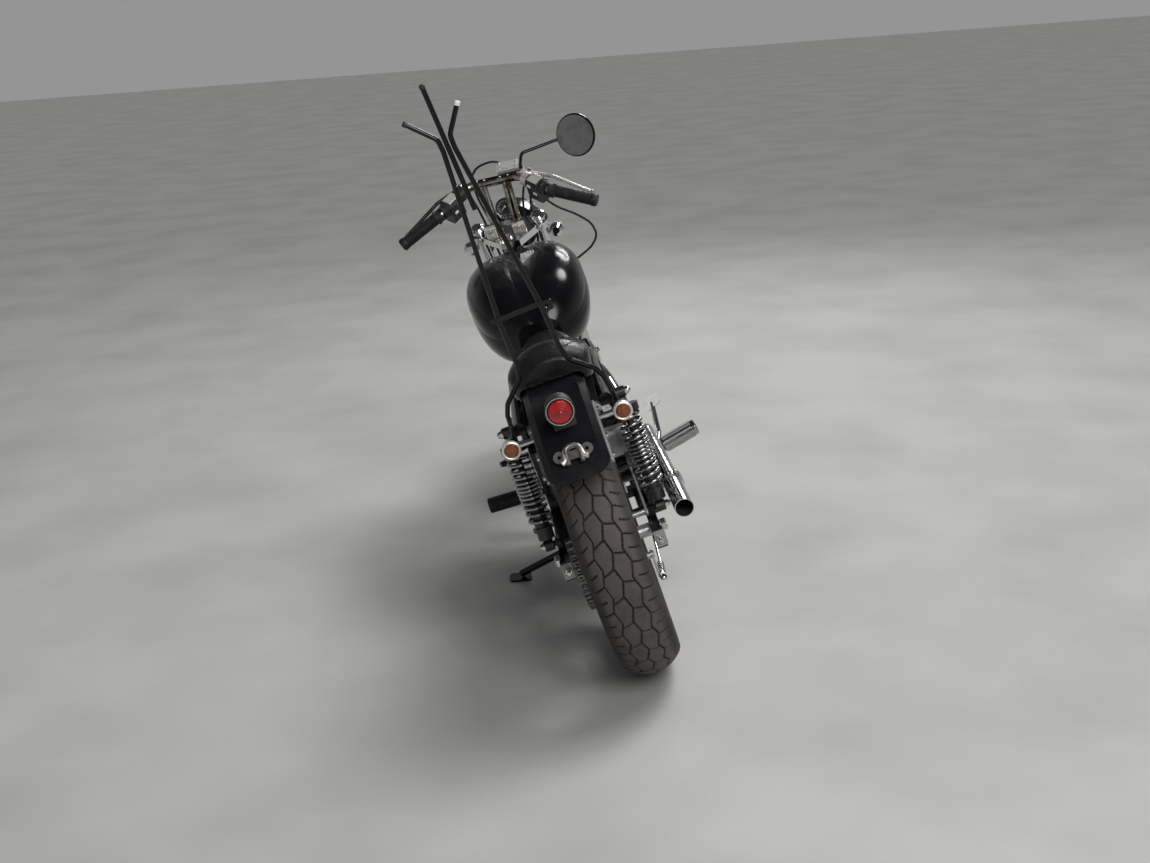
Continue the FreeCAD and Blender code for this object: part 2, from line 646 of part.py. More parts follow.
def frame():
    high = on_axis(HEAD_HIGH)
    gusset = side_plate([(HEAD.y - 35, HEAD.z - 4), (HEAD.y - 50, HEAD.z + 86),
                         (HEAD.y - 175, HEAD.z + 51), (HEAD.y - 95, HEAD.z - 4)], 8, -4, 4)
    bore = rod(HEAD - AXIS_UP * 5, high + AXIS_UP * 5, STEM_R + 1)
    parts["frame_spine"] = cut_all(fuse([rod(HEAD, high, HEAD_R), backbone(SPINE_R), gusset]),
                                   [bore, cross_tube(TUBE_R + SEAT_GAP)])
    foot = on_axis(HEAD_LOW + 30)
    down = bent_rod([V(34, foot.y, foot.z), V(80, foot.y - 143, 470), V(CRADLE_X, 890, 225),
                     V(CRADLE_X, 850, CRADLE_Z), V(CRADLE_X, 470, CRADLE_Z)], TUBE_R, 60)
    lower_plate = side_plate([(398, 452), (468, 470), (492, 330), (486, 165), (440, 165),
                              (404, 300)], 12, ARM_OUT + 1.5, ARM_OUT + 9)
    upright = bent_rod([V(ARM_OUT + 5, 434, 455), V(RAIL_X + 12, 430, 540), V(RAIL_X, 420, RAIL_Z),
                        V(RAIL_X, 330, RAIL_Z), V(RAIL_X, -60, RAIL_Z + 8)], TUBE_R, 45)
    stud = cross_rod(RAIL_X + 5, SHOCK_X + 12, SHOCK_HIGH, STUD_R)
    hanger_z = SHOCK_HIGH.z - 14
    hanger = side_plate([(45, RAIL_Z), (87, RAIL_Z), (78, hanger_z), (54, hanger_z)], 5,
                        RAIL_X + 4, SHOCK_X - EYE_HALF - 2 * SEAT_GAP)
    half = fuse([down, lower_plate, upright, stud, hanger])
    across = ARM_OUT + 5
    beams = [rod(V(-across, 470, CRADLE_Z), V(across, 470, CRADLE_Z), TUBE_R - 2),
             rod(V(-across, 446, 440), V(across, 446, 440), TUBE_R - 2),
             rod(V(-34, foot.y, foot.z), V(34, foot.y, foot.z), TUBE_R), cross_tube(TUBE_R)]
    beams += [box(-CRADLE_X, CRADLE_X, y, y + 30, CRADLE_Z + 6, CASE_LOW - SEAT_GAP)
              for y in (575, 715)]
    pivot = cross_rod(-ARM_OUT - 14, ARM_OUT + 14, PIVOT, PIVOT_R)
    lug_end = STAND_PIVOT + STAND_AXIS * 16
    lug = rod(STAND_PIVOT + STAND_AXIS * (10 + SEAT_GAP), lug_end, 20)
    pin = rod(STAND_PIVOT - STAND_AXIS * 12, lug_end, STAND_PIN_R)
    whole = fuse([half, mirrored(half), pivot, lug, pin] + beams)
    parts["frame_cradle"] = whole.cut(rod(HEAD, high, HEAD_R + SEAT_GAP))


# Engine

def engine():
    case = side_plate(CASE_OUTLINE, 25, -CASE_HALF, CASE_HALF)
    inner = CASE_HALF - 5
    left = side_plate([(512, 262), (512, 415), (560, 428), (690, 405), (740, 330), (700, 235),
                       (560, 228)], 40, -132, -inner)
    tunnel = box(-98, -CASE_HALF - 0.5, 490, 598, 292, 402)
    round_left = turned([(0, 0), (62, 0), (56, 12), (0, 14)], V(-131, 655, 325), -X_AXIS)
    right = side_plate([(520, 262), (520, 395), (570, 425), (690, 415), (755, 340), (705, 232),
                        (560, 228)], 40, inner, 118)
    round_right = turned([(0, 0), (74, 0), (66, 14), (0, 18)], V(117, 610, 325), X_AXIS)
    parts["crankcase"] = fuse([case, left, round_left, right, round_right]).cut(tunnel)
    block = side_plate(CASE_OUTLINE, 25, -CASE_HALF - SEAT_GAP, CASE_HALF + SEAT_GAP)
    parts["cylinders"] = Part.makeCompound([cylinder(V_HALF_ANGLE).cut(block),
                                            cylinder(-V_HALF_ANGLE).cut(block)])


def cylinder(angle):
    """Finned barrel, finned head and rocker cover, leaned back by an angle about the crank."""
    fins = BARREL_FINS + HEAD_FINS
    top = FIN_LOW + FIN_PITCH * (fins - 1)
    pieces = [rod(V(0, 0, 60), V(0, 0, top + 60), 38)]
    for i in range(fins):
        half_x, half_y = (58, 48) if i < BARREL_FINS else (66, 56)
        pieces.append(flat_plate(half_x, half_y, FIN_LOW + FIN_PITCH * i, FIN_T, 14))
    pieces.append(flat_plate(58, 46, top + 12, 40, 16))
    pieces.append(flat_plate(46, 36, top + 50, 14, 16))
    whole = fuse(pieces)
    whole.rotate(V(0, 0, 0), X_AXIS, angle)
    whole.translate(CRANK)
    return whole


def exhaust():
    """Two headers that join in one pipe along the right side, with a clamped open tip."""
    back = (TIP_END - TIP_START).normalize()
    front = bent_rod([V(45, 812, 560), V(70, 905, 540), V(118, 905, 430), V(146, 800, 320),
                      V(152, 640, 300), V(162, 520, 340), V(166, 430, 392),
                      TIP_START - back * 70, TIP_START + back * 10], PIPE_R, 50)
    rear = bent_rod([V(50, 506, 548), V(84, 500, 590), V(102, 500, 560), V(104, 500, 500),
                     V(130, 502, 440), V(158, 512, 366)], 16, 25)
    tip = rod(TIP_START, TIP_END, TIP_R)
    bore = rod(TIP_START + back * 40, TIP_END + back * 20, TIP_R - 1.8)
    clamp = rod(TIP_START - back * 6, TIP_START + back * 18, TIP_R + 3)
    hanger = box(ARM_OUT + 9 + SEAT_GAP, 160, 448, 468, 370, 386)
    cylinders = parts["cylinders"]
    parts["exhaust"] = fuse([front, rear, tip, clamp, hanger]).cut(bore).cut(cylinders)


def intake():
    """Air cleaner on the right whose face looks up a little, and the carburettor."""
    outward = V(cos(radians(AIR_TILT)), 0, sin(radians(AIR_TILT)))
    cover = turned([(0, 0), (38, 0), (42, 5), (41, 20), (28, 27), (0, 30)], AIR_CLEANER, outward)
    neck = rod(V(20, AIR_CLEANER.y, 577), AIR_CLEANER + outward * 2, 20)
    bowl = rod(V(18, AIR_CLEANER.y, 535), V(18, AIR_CLEANER.y, 590), 20)
    body = rod(V(-20, AIR_CLEANER.y, 577), V(30, AIR_CLEANER.y, 577), 18)
    parts["intake"] = fuse([cover, neck, bowl, body])


# Body work

def tank_section(y, half, top, waist, low, dip):
    """Closed section of the tank: two lobes with a dip between, bulging sides, flat underside."""
    base = half * TANK_TURN_IN
    bulge_z = (waist + low) / 2 - 8
    lobe = V(half * TANK_LOBE, y, top)
    edge = V(half * TANK_DIP, y, top - dip)
    side = V(half, y, waist)
    bulge = V(half * 0.95, y, bulge_z)
    under = V(base, y, low)
    return Part.Wire([curve.toShape() for curve in (
        Part.Arc(opposite(side), opposite(lobe), opposite(edge)),
        Part.Arc(opposite(edge), V(0, y, top - dip * 1.25), edge),
        Part.Arc(edge, lobe, side),
        Part.Arc(side, bulge, under),
        Part.LineSegment(under, opposite(under)),
        Part.Arc(opposite(under), opposite(bulge), opposite(side)))])


def fuel_tank():
    """Teardrop tank lofted through its sections, hollowed below for the backbone."""
    shell = Part.makeLoft([tank_section(*row) for row in TANK], True, False)
    slot = SPINE_R + SEAT_GAP
    tunnel = side_plate([(CROSS_Y, 560), (CROSS_Y, RAIL_Z), (HEAD.y - 235, HEAD.z + 41),
                         (TANK[0][0] + 20, HEAD.z + 50), (TANK[0][0] + 20, 560)], 1, -slot, slot)
    pod = flat_plate(30, 21, 0, 22, 9)
    pod.Placement = FreeCAD.Placement(POD, FreeCAD.Rotation(X_AXIS, 6))
    parts["fuel_tank"] = fuse([cut_all(shell, [backbone(slot), tunnel]), pod])


def fender_body(gap):
    """Drum as large as the fender and a gap, to shape what rests on it."""
    half = FENDER_HALF + gap
    return turned([(0, -half), (FENDER_R + gap, -half), (FENDER_R + gap, half), (0, half)],
                  FENDER_C, X_AXIS)


def fender_section(half, radius, skirt, edge, thick):
    """Channel section of a fender as (x, radius) pairs, with its edges bevelled."""
    outer = [(half, radius - skirt), (half, radius - edge), (half - edge, radius)]
    inner = [(half - thick, radius - skirt), (half - thick, radius - edge),
             (half - edge - thick / 2, radius - thick)]
    return symmetric(outer) + [(-x, r) for x, r in inner] + list(reversed(inner))


def rear_fender():
    section = fender_section(FENDER_HALF, FENDER_R, FENDER_SKIRT, 14, FENDER_T)
    shell = arched(section, FENDER_C, FENDER_FROM, FENDER_SWEEP)
    lip = on_fender(LIP_ANGLE, -60)
    tip = on_fender(LIP_ANGLE, 0) - lip
    down = X_AXIS.cross(tip).normalize()
    corners = []
    for side in (-1, 1):
        edge = V(side * (FENDER_HALF - LIP_ROUND), 0, 0)
        centre = lip + edge - down * LIP_ROUND
        square = [centre, centre + X_AXIS * side * 60, centre + X_AXIS * side * 60 + down * 60,
                  centre + down * 60, centre]
        block = Part.Face(Part.makePolygon(square)).extrude(tip * 1.3)
        corners.append(block.cut(rod(centre - tip, centre + tip * 2, LIP_ROUND)))
    parts["rear_fender"] = cut_all(shell, corners)


def seat_section(y, half, top, edge, low):
    """Closed section of the saddle: a crowned top over sides that turn in a little."""
    corner = V(half, y, edge)
    under = V(half - 6, y, low)
    outline = Part.Wire([curve.toShape() for curve in (
        Part.Arc(opposite(corner), V(0, y, top), corner),
        Part.LineSegment(corner, under),
        Part.LineSegment(under, opposite(under)),
        Part.LineSegment(opposite(under), opposite(corner)))])
    outline.translate(V(SEAT_X, 0, 0))
    return outline


def seat():
    """Solo saddle with a raised back, resting on the fender and the seat rails."""
    body = Part.makeLoft([seat_section(*row) for row in SEAT], True, False)
    parts["seat"] = cut_all(body, [fender_body(SEAT_GAP), backbone(SPINE_R + SEAT_GAP)])


def fender_stays():
    """Flat side bars that carry the fender from bosses on the ends of the seat rails."""
    x0 = FENDER_HALF + SEAT_GAP
    x1 = RAIL_X - TUBE_R - SEAT_GAP
    bar = side_plate([(-30, 612), (-26, 646), (-112, 650), (-182, 612), (-224, 566), (-210, 556),
                      (-168, 594), (-108, 626)], 8, x0, x0 + STAY_T)
    boss = rod(V(x0 + 1, -42, 633), V(x1, -42, 633), 11)
    parts["fender_stays"] = both_sides(fuse([bar, boss]))


def tail_light():
    """Round housing and lens, on a foot on the fender."""
    tail = on_fender(TAIL_ANGLE, TAIL_OUT) + X_AXIS * TAIL_X
    base = tail + Y_AXIS * 62
    housing = turned([(0, 0), (20, 0), (29, 20), (31, 56), (27, 60), (0, 60)], base, -Y_AXIS)
    foot = box(tail.x - 24, tail.x + 24, tail.y + 31, tail.y + 71, tail.z - 72, tail.z - 12)
    parts["tail_light"] = fuse([housing, foot]).cut(fender_body(SEAT_GAP))
    parts["tail_lens"] = turned([(0, 0), (25, 0), (22, 8), (13, 13), (0, 14)],
                                tail + Y_AXIS * (2 - SEAT_GAP), -Y_AXIS)


def plate_bracket():
    """Two-hole bracket with a raised arch, on short feet on the fender's rear face."""
    lobes = [rod(V(s * PLATE_HOLE_X, 0, 0), V(s * PLATE_HOLE_X, 0, PLATE_T), 13) for s in (-1, 1)]
    web = plate([V(-30, -13, 0), V(30, -13, 0), V(30, 6, 0), V(-30, 6, 0)], 3, V(0, 0, PLATE_T))
    arch = bent_rod([V(-15, -24, 3), V(-15, 16, 5), V(15, 16, 5), V(15, -24, 3)], 5, 13)
    feet = [rod(V(x, y, -12), V(x, y, 1), 4) for x in (-12, 12) for y in (-8, 8)]
    holes = [rod(V(s * PLATE_HOLE_X, 0, -5), V(s * PLATE_HOLE_X, 0, 10), PLATE_HOLE_R)
             for s in (-1, 1)]
    piece = cut_all(fuse([web, arch] + lobes + feet), holes)
    piece.rotate(V(0, 0, 0), X_AXIS, PLATE_ANGLE)
    piece.translate(PLATE_SEAT)
    parts["plate_bracket"] = piece.cut(fender_body(SEAT_GAP))


def rear_signals():
    shell, lens = lamp(REAR_SIGNAL + Y_AXIS * 30, -Y_AXIS, 90)
    root = V(FENDER_HALF + STAY_T + 2 * SEAT_GAP, REAR_SIGNAL.y + 12, REAR_SIGNAL.z)
    stalk = rod(root, V(REAR_SIGNAL.x - 4, root.y, REAR_SIGNAL.z), 6)
    parts["rear_signals"] = both_sides(fuse([shell, stalk]))
    parts["rear_lenses"] = both_sides(lens)


def sissy_bar():
    """Pitchfork back rest of bent rods, canted and leaned back."""
    def at(x, z):
        return V(SISSY_X + x, SISSY_Y - SISSY_LEAN * (z - RAIL_Z), z)

    def strip(x0, x1, z0, z1, thick):
        corners = [at(x0, z0), at(x1, z0), at(x1, z1), at(x0, z1)]
        return plate([p + behind * (SISSY_R - 0.5) for p in corners], 2, behind * thick)

    behind = V(0, -1, -SISSY_LEAN).normalize()

    legs = [bent_rod([at(side * x, z) for x, z in SISSY_LEG + [SISSY_PRONGS[side]]], SISSY_R, 20)
            for side in (-1, 1)]
    middle = rod(at(0, SISSY_MIDDLE[0]), at(0, SISSY_MIDDLE[1]), SISSY_R)
    hole = rod(at(*TAB_HOLE), at(*TAB_HOLE) + behind * 30, TAB_HOLE_R)
    tab = strip(46, 69, 884, 905, TAB_T).cut(hole)
    whole = fuse(legs + [middle, strip(-62, 50, 899, 909, 3), tab])
    whole.rotate(V(0, 0, RAIL_Z), Y_AXIS, -SISSY_CANT)
    feet = [box(min(s * 110, s * 126), max(s * 110, s * 126), SISSY_FOOT_Y, -66, 616, 646)
            for s in (-1, 1)]
    rails = [rod(V(s * RAIL_X, 100, RAIL_Z + 5), V(s * RAIL_X, -70, RAIL_Z + 8),
                 TUBE_R + SEAT_GAP) for s in (-1, 1)]
    parts["sissy_bar"] = cut_all(fuse([whole] + feet), rails)


def battery_box():
    parts["battery_box"] = side_plate([(300, 470), (300, 550), (330, 600), (404, 600), (404, 470)],
                                      16, -82, 82)


# Foot controls and stand

def foot_pegs():
    cradle = rod(V(CRADLE_X, PEG_Y + 100, CRADLE_Z), V(CRADLE_X, PEG_Y - 100, CRADLE_Z),
                 TUBE_R + SEAT_GAP)
    pegs = []
    for side in (-1, 1):
        rise = radians(PEG_RISE[side])
        start = V(PEG_IN, PEG_Y, PEG_Z)
        outward = V(cos(rise), 0, sin(rise))
        length = PEG_LENGTH[side]
        rubber = turned([(0, 0), (PEG_R - 4, 0), (PEG_R, 4), (PEG_R, length - 8),
                         (PEG_R - 3, length - 2), (0, length)], start, outward)
        arm = bent_rod([V(CRADLE_X + 4, PEG_Y, CRADLE_Z - 12), V(140, PEG_Y, CRADLE_Z + 10),
                        start - outward * 18, start + outward], 9, 30)
        peg = fuse([rubber, arm]).cut(cradle)
        pegs.append(peg if side > 0 else mirrored(peg))
    parts["foot_pegs"] = Part.makeCompound(pegs)


def brake_pedal():
    middle, wide, deep = V(212, 750, 358), V(21, 0, 8), V(3, -9, -11.5)
    thick = wide.cross(deep).normalize() * 6
    pad = plate([middle - wide - deep, middle + wide - deep, middle + wide + deep,
                 middle - wide + deep], 7, thick)
    lever = bent_rod([V(150, 652, 262), V(186, 652, 264), V(203, 700, 284),
                      middle + thick * 0.8], 7, 14)
    pivot = rod(V(138, 652, 262), V(176, 652, 262), 11)
    parts["brake_pedal"] = fuse([lever, pad, pivot])


def gear_lever():
    lever = bent_rod([V(-152, 690, 262), V(-152, 716, 264), V(-152, 766, 330)], 6, 15)
    rubber = rod(V(-150, 766, 330), V(-236, 766, 330), 8)
    shaft = rod(V(-132 - SEAT_GAP, 690, 262), V(-160, 690, 262), 9)
    parts["gear_lever"] = fuse([lever, rubber, shaft])


def side_stand():
    """Leg and foot plate; the foot's underside lies in the ground plane of the leaning bike."""
    along = LEANED.inverted().multVec(X_AXIS)
    up = LEANED.inverted().multVec(Z_AXIS)

    def sole(half_out, half_in, half_y, radius, thick):
        corners = [(-half_out, -half_y), (half_in, -half_y), (half_in, half_y),
                   (-half_out, half_y)]
        return plate([STAND_FOOT + along * a + Y_AXIS * b for a, b in corners], radius, thick)

    start = STAND_PIVOT + (STAND_FOOT - STAND_PIVOT) * 0.05 - STAND_AXIS * 3
    leg = rod(start, STAND_FOOT + up * 14, 9.5)
    hinge = rod(STAND_PIVOT - STAND_AXIS * 10.5, STAND_PIVOT + STAND_AXIS * 10, 16)
    pin = rod(STAND_PIVOT - STAND_AXIS * 40, STAND_PIVOT + STAND_AXIS * 40, STAND_PIN_R + SEAT_GAP)
    whole = fuse([leg, sole(32, 26, 26, 12, up * 6), hinge])
    parts["side_stand"] = cut_all(whole, [sole(90, 90, 90, 5, up * -40), pin])


# Fork, handlebar and what they carry, drawn with the steering axis upright

def yoke(z, thick):
    """Plate between the fork legs, with a bored boss round each."""
    legs = [rod(V(s * YOKE_HALF, YOKE_OFFSET, z), V(s * YOKE_HALF, YOKE_OFFSET, z + thick), YOKE_R)
            for s in (-1, 1)]
    back = YOKE_OFFSET - 20
    web = plate([V(-YOKE_HALF, back, z), V(-28, -26, z), V(28, -26, z), V(YOKE_HALF, back, z),
                 V(YOKE_HALF, back + 40, z), V(-YOKE_HALF, back + 40, z)], 6, V(0, 0, thick))
    holes = [rod(V(s * YOKE_HALF, YOKE_OFFSET, z - 5), V(s * YOKE_HALF, YOKE_OFFSET, z + thick + 5),
                 FORK_TUBE_R + SEAT_GAP) for s in (-1, 1)]
    return cut_all(fuse([web] + legs), holes)


def fork():
    fork_top = YOKE_HIGH + 30
    stem = rod(V(0, 0, YOKE_LOW + 2), V(0, 0, fork_top), STEM_R)
    parts["yokes"] = fuse([yoke(YOKE_LOW, YOKE_LOW_T), yoke(YOKE_HIGH, YOKE_HIGH_T), stem])
    tube = rod(V(YOKE_HALF, YOKE_OFFSET, SLIDER_TOP + SEAT_GAP), V(YOKE_HALF, YOKE_OFFSET, fork_top),
               FORK_TUBE_R)
    cap = turned([(0, 0), (21, 0), (21, 8), (14, 14), (0, 16)], V(YOKE_HALF, YOKE_OFFSET, fork_top),
                 Z_AXIS)
    parts["fork_tubes"] = both_sides(fuse([tube, cap]))
    collar = SLIDER_R + 3
    slider = turned([(0, -8), (SLIDER_R - 4, -8), (SLIDER_R, 12), (SLIDER_R, SLIDER_TOP - 18),
                     (collar, SLIDER_TOP - 18), (collar, SLIDER_TOP), (0, SLIDER_TOP)],
                    V(YOKE_HALF, YOKE_OFFSET, 0), Z_AXIS)
    lug = side_plate([(YOKE_OFFSET - 5, -18), (FORK_LEAD + 18, -18), (FORK_LEAD + 18, 18),
                      (YOKE_OFFSET - 5, 60)], 8, YOKE_HALF - 18, YOKE_HALF + 18)
    axle = cross_rod(-YOKE_HALF - SLIDER_R - 3, YOKE_HALF + SLIDER_R + 3, FRONT_HUB, AXLE_R)
    half = fuse([slider, lug])
    parts["fork_sliders"] = fuse([half, mirrored(half), axle])


def front_fender():
    half = YOKE_HALF - SLIDER_R - FRONT_FENDER_SIDE
    section = fender_section(half, FRONT_FENDER_R, 37, 12, FENDER_T)
    shell = arched(section, FRONT_HUB, 15, 116)
    tab = box(half - 2, YOKE_HALF - SLIDER_R - SEAT_GAP, YOKE_OFFSET - 8, YOKE_OFFSET + 8, 250, 312)
    parts["front_fender"] = fuse([shell, tab, mirrored(tab)])


def along(a, b, distance):
    """Point on the line from a to b."""
    return a + (b - a).normalize() * distance


def bar_tube(r):
    half = [BAR_TOP, BAR_BEND, BAR_END]
    return bent_rod([opposite(p) for p in reversed(half)] + half, r, 45)


def handlebar():
    seat_z = YOKE_HIGH + YOKE_HIGH_T + SEAT_GAP
    risers = []
    for s in (-1, 1):
        foot = V(s * 32, 24, seat_z)
        risers.append(bent_rod([foot, foot + Z_AXIS * 40, V(s * 34, BAR_TOP.y, BAR_TOP.z - 2)],
                               13, 40))
        risers.append(rod(foot, foot + Z_AXIS * 14, 17))
    stem_nut = rod(V(0, 0, YOKE_HIGH), V(0, 0, YOKE_HIGH + 60), STEM_R + 6)
    parts["handlebar"] = fuse([bar_tube(BAR_R)] + risers).cut(stem_nut)
    start = along(BAR_BEND, BAR_END, 15)
    grip = rod(start, along(BAR_END, BAR_BEND, -6), GRIP_R)
    parts["grips"] = both_sides(grip.cut(rod(start, BAR_END, BAR_R + SEAT_GAP)))
    a, b = along(BAR_TOP, BAR_BEND, 48), along(BAR_TOP, BAR_BEND, 96)
    parts["switches"] = both_sides(pipe(a, b, 21, BAR_R + SEAT_GAP))


def lever_perch():
    """Right-hand clamp, pivot and blade of a hand lever."""
    z = BAR_TOP.z - 2
    clamp = rod(along(BAR_TOP, BAR_BEND, 24), along(BAR_TOP, BAR_BEND, 44), 20)
    pivot = rod(V(104, 66, z - 10), V(104, 66, z + 10), 11)
    arm = box(88, 104, 44, 72, z - 6, z + 6)
    blade = bent_rod([V(104, 66, z), V(128, 62, z - 6), V(165, 44, z - 10), V(262, -16, z - 44)],
                     5, 20)
    return fuse([clamp, pivot, arm, blade])


def hand_controls():
    """Clutch lever on the left; brake lever with its master cylinder on the right."""
    bar = bar_tube(BAR_R + SEAT_GAP)
    parts["clutch_lever"] = mirrored(lever_perch().cut(bar))
    low = BAR_TOP.z + 20
    reservoir = box(22, 80, 62, 90, low - 6 + SEAT_GAP, low + 19)
    link = box(70, 92, 60, 76, low - 20, low)
    parts["brake_lever"] = fuse([lever_perch(), reservoir, link]).cut(bar)


def mirror():
    """Round mirror on a bent stem that stands on the master cylinder."""
    foot = V(86, 70, BAR_TOP.z + 20 + SEAT_GAP)
    outward = Z_AXIS.cross(MIRROR_FACE).normalize()
    back = MIRROR - MIRROR_FACE.normalize() * 12
    stem = bent_rod([foot, foot + Z_AXIS * 14, V(98, 75, 945), back - outward * 42 - Z_AXIS * 16],
                    4.5, 12)
    head = turned([(0, 0), (MIRROR_R - 3, 0), (MIRROR_R - 3, 2), (MIRROR_R, 2), (MIRROR_R, 5),
                   (54, 12), (20, 18), (0, 18)], MIRROR, MIRROR_FACE * -1)
    parts["mirror"] = fuse([stem, head])
    parts["mirror_glass"] = turned([(0, 0), (MIRROR_R - 4, 0), (MIRROR_R - 4, 1.5), (0, 1.5)],
                                   MIRROR + MIRROR_FACE * SEAT_GAP, MIRROR_FACE)


def headlight():
    r = HEADLIGHT_R
    shell = turned([(0, -62), (34, -60), (66, -34), (r - 2, 10), (r, 34), (r, 42), (r - 8, 42),
                    (r - 8, 30), (0, 30)], HEADLIGHT, LEVEL_AHEAD)
    ears = [rod(V(s * (YOKE_HALF - 2), YOKE_OFFSET + FORK_TUBE_R + SEAT_GAP, HEADLIGHT.z),
                V(s * 66, 140, HEADLIGHT.z), 7) for s in (-1, 1)]
    parts["headlight"] = fuse([shell] + ears)
    glass = r - 8 - SEAT_GAP
    parts["headlight_glass"] = turned([(0, 30 + SEAT_GAP), (glass, 30 + SEAT_GAP), (glass, 40),
                                       (50, 50), (0, 55)], HEADLIGHT, LEVEL_AHEAD)


def speedometer():
    dial = turned([(0, 0), (20, 2), (28, 16), (28, 36), (26, 39), (0, 39)], V(0, 101, 718),
                  V(0, -0.35, 0.94))
    foot = box(-8, 8, 50, 92, YOKE_HIGH + YOKE_HIGH_T + SEAT_GAP, YOKE_HIGH + 34)
    parts["speedometer"] = fuse([dial, foot])


def front_signals():
    shell, lens = lamp(FRONT_SIGNAL - LEVEL_AHEAD * 18, LEVEL_AHEAD, 90)
    stalk = rod(V(YOKE_HALF + FORK_TUBE_R + SEAT_GAP, YOKE_OFFSET, FRONT_SIGNAL.z), FRONT_SIGNAL, 6)
    parts["front_signals"] = both_sides(fuse([shell, stalk]))
    parts["front_lenses"] = both_sides(lens)


def caliper():
    """Brake caliper that straddles the disc behind the right fork leg."""
    front = YOKE_OFFSET - SLIDER_R - SEAT_GAP
    body = side_plate([(-52, 62), (-52, 118), (front, 132), (front, 62)], 10,
                      HUB_HALF - 3 + RUN_GAP, YOKE_HALF)
    slot = DISC_T / 2 + RUN_GAP
    groove = pipe(FRONT_HUB + X_AXIS * (DISC_X - slot), FRONT_HUB + X_AXIS * (DISC_X + slot),
                  DISC_R + RUN_GAP + 2, 60)
    parts["front_caliper"] = body.cut(groove)


def control_cables():
    """Cables and hose from the handlebar, whole along their route, all held by the fork."""
    parts["control_cables"] = Part.makeCompound([
        bent_rod([V(*point) for point in route], CABLE_R, CABLE_BEND)
        for route in CABLES.values()])


STEERED = ("front_tyre", "front_wheel", "front_disc", "yokes", "fork_tubes", "fork_sliders",
           "front_fender", "handlebar", "grips", "switches", "clutch_lever", "brake_lever",
           "mirror", "mirror_glass", "headlight", "headlight_glass", "speedometer",
           "front_signals", "front_lenses", "front_caliper", "control_cables")


def park():
    """Leans the bike and centres it over the origin, with the ground at Z = 0."""
    lean = FreeCAD.Placement(V(0, 0, 0), LEANED)
    steer = FreeCAD.Placement(AXIS_FOOT, STEERED_ROT)
    for name, shape in parts.items():
        shape.Placement = (lean * steer if name in STEERED else lean) * shape.Placement
    span = Part.makeCompound(list(parts.values())).optimalBoundingBox(False, False)
    shift = V(-(span.XMin + span.XMax) / 2, -(span.YMin + span.YMax) / 2, -span.ZMin)
    for shape in parts.values():
        shape.translate(shift)
    return FreeCAD.Placement(shift, FreeCAD.Rotation()) * lean


rear_wheel()
front_wheel()
swingarm()
rear_brake()
shock_absorbers()
drive_chain()
chain_guard()
frame()
engine()
exhaust()
intake()
fuel_tank()
rear_fender()
seat()
fender_stays()
tail_light()
plate_bracket()
rear_signals()
sissy_bar()
battery_box()
foot_pegs()
brake_pedal()
gear_lever()
side_stand()
fork()
front_fender()
handlebar()
hand_controls()
mirror()
headlight()
speedometer()
front_signals()
caliper()
control_cables()
PARKED = park()

os.makedirs("parts", exist_ok=True)
for name, shape in parts.items():
    shape.exportStep("parts/" + name + ".step")
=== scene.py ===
import bpy
import json
from math import acos, atan2, cos, pi, radians, sin
from mathutils import Matrix, Vector
from mathutils.bvhtree import BVHTree


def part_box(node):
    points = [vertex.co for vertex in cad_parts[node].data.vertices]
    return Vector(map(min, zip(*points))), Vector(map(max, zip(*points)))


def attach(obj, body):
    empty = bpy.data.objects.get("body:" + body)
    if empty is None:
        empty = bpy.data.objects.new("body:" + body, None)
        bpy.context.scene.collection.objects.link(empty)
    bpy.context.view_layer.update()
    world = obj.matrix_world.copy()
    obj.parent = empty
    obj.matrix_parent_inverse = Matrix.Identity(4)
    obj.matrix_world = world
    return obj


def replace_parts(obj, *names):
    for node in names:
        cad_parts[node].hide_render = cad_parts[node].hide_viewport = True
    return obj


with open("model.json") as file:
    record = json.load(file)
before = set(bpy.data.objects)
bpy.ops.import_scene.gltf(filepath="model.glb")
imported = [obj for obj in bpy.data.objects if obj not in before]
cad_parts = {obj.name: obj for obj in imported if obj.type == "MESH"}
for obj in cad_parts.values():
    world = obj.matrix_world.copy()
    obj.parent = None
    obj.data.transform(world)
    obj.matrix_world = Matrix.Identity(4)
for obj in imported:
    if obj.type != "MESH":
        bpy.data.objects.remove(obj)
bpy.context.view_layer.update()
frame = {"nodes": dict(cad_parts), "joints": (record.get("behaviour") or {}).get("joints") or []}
NODES = frame["nodes"]
X, Y, Z = Vector((1, 0, 0)), Vector((0, 1, 0)), Vector((0, 0, 1))
SIDES = (-1, 1)              # left and right

# The bike's own frame in millimetres: X to the rider's right, Y forward, Z up, upright, with the
# rear axle over Y = 0. The fork's frame is upright about the steering axis.
LEAN, RAKE, STEER = 15.5, 35.0, -10.0
LEANED_AXLE_Z = 296.89
REAR_Z = LEANED_AXLE_Z / cos(radians(LEAN))
LEANED = Matrix.Rotation(radians(-LEAN), 4, "Y")
MM = Matrix.Scale(0.001, 4)
low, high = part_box("rear_tyre")
SHIFT = (low + high) / 2 - LEANED @ Vector((0, 0, REAR_Z / 1000))
BIKE = Matrix.Translation(SHIFT) @ LEANED @ MM
joint = {j["name"]: j for j in frame["joints"]}
FORK = (Matrix.Translation(Vector(joint["steering_turn"]["pos_m"])) @ LEANED
        @ Matrix.Rotation(radians(RAKE), 4, "X") @ Matrix.Rotation(radians(STEER), 4, "Z") @ MM)

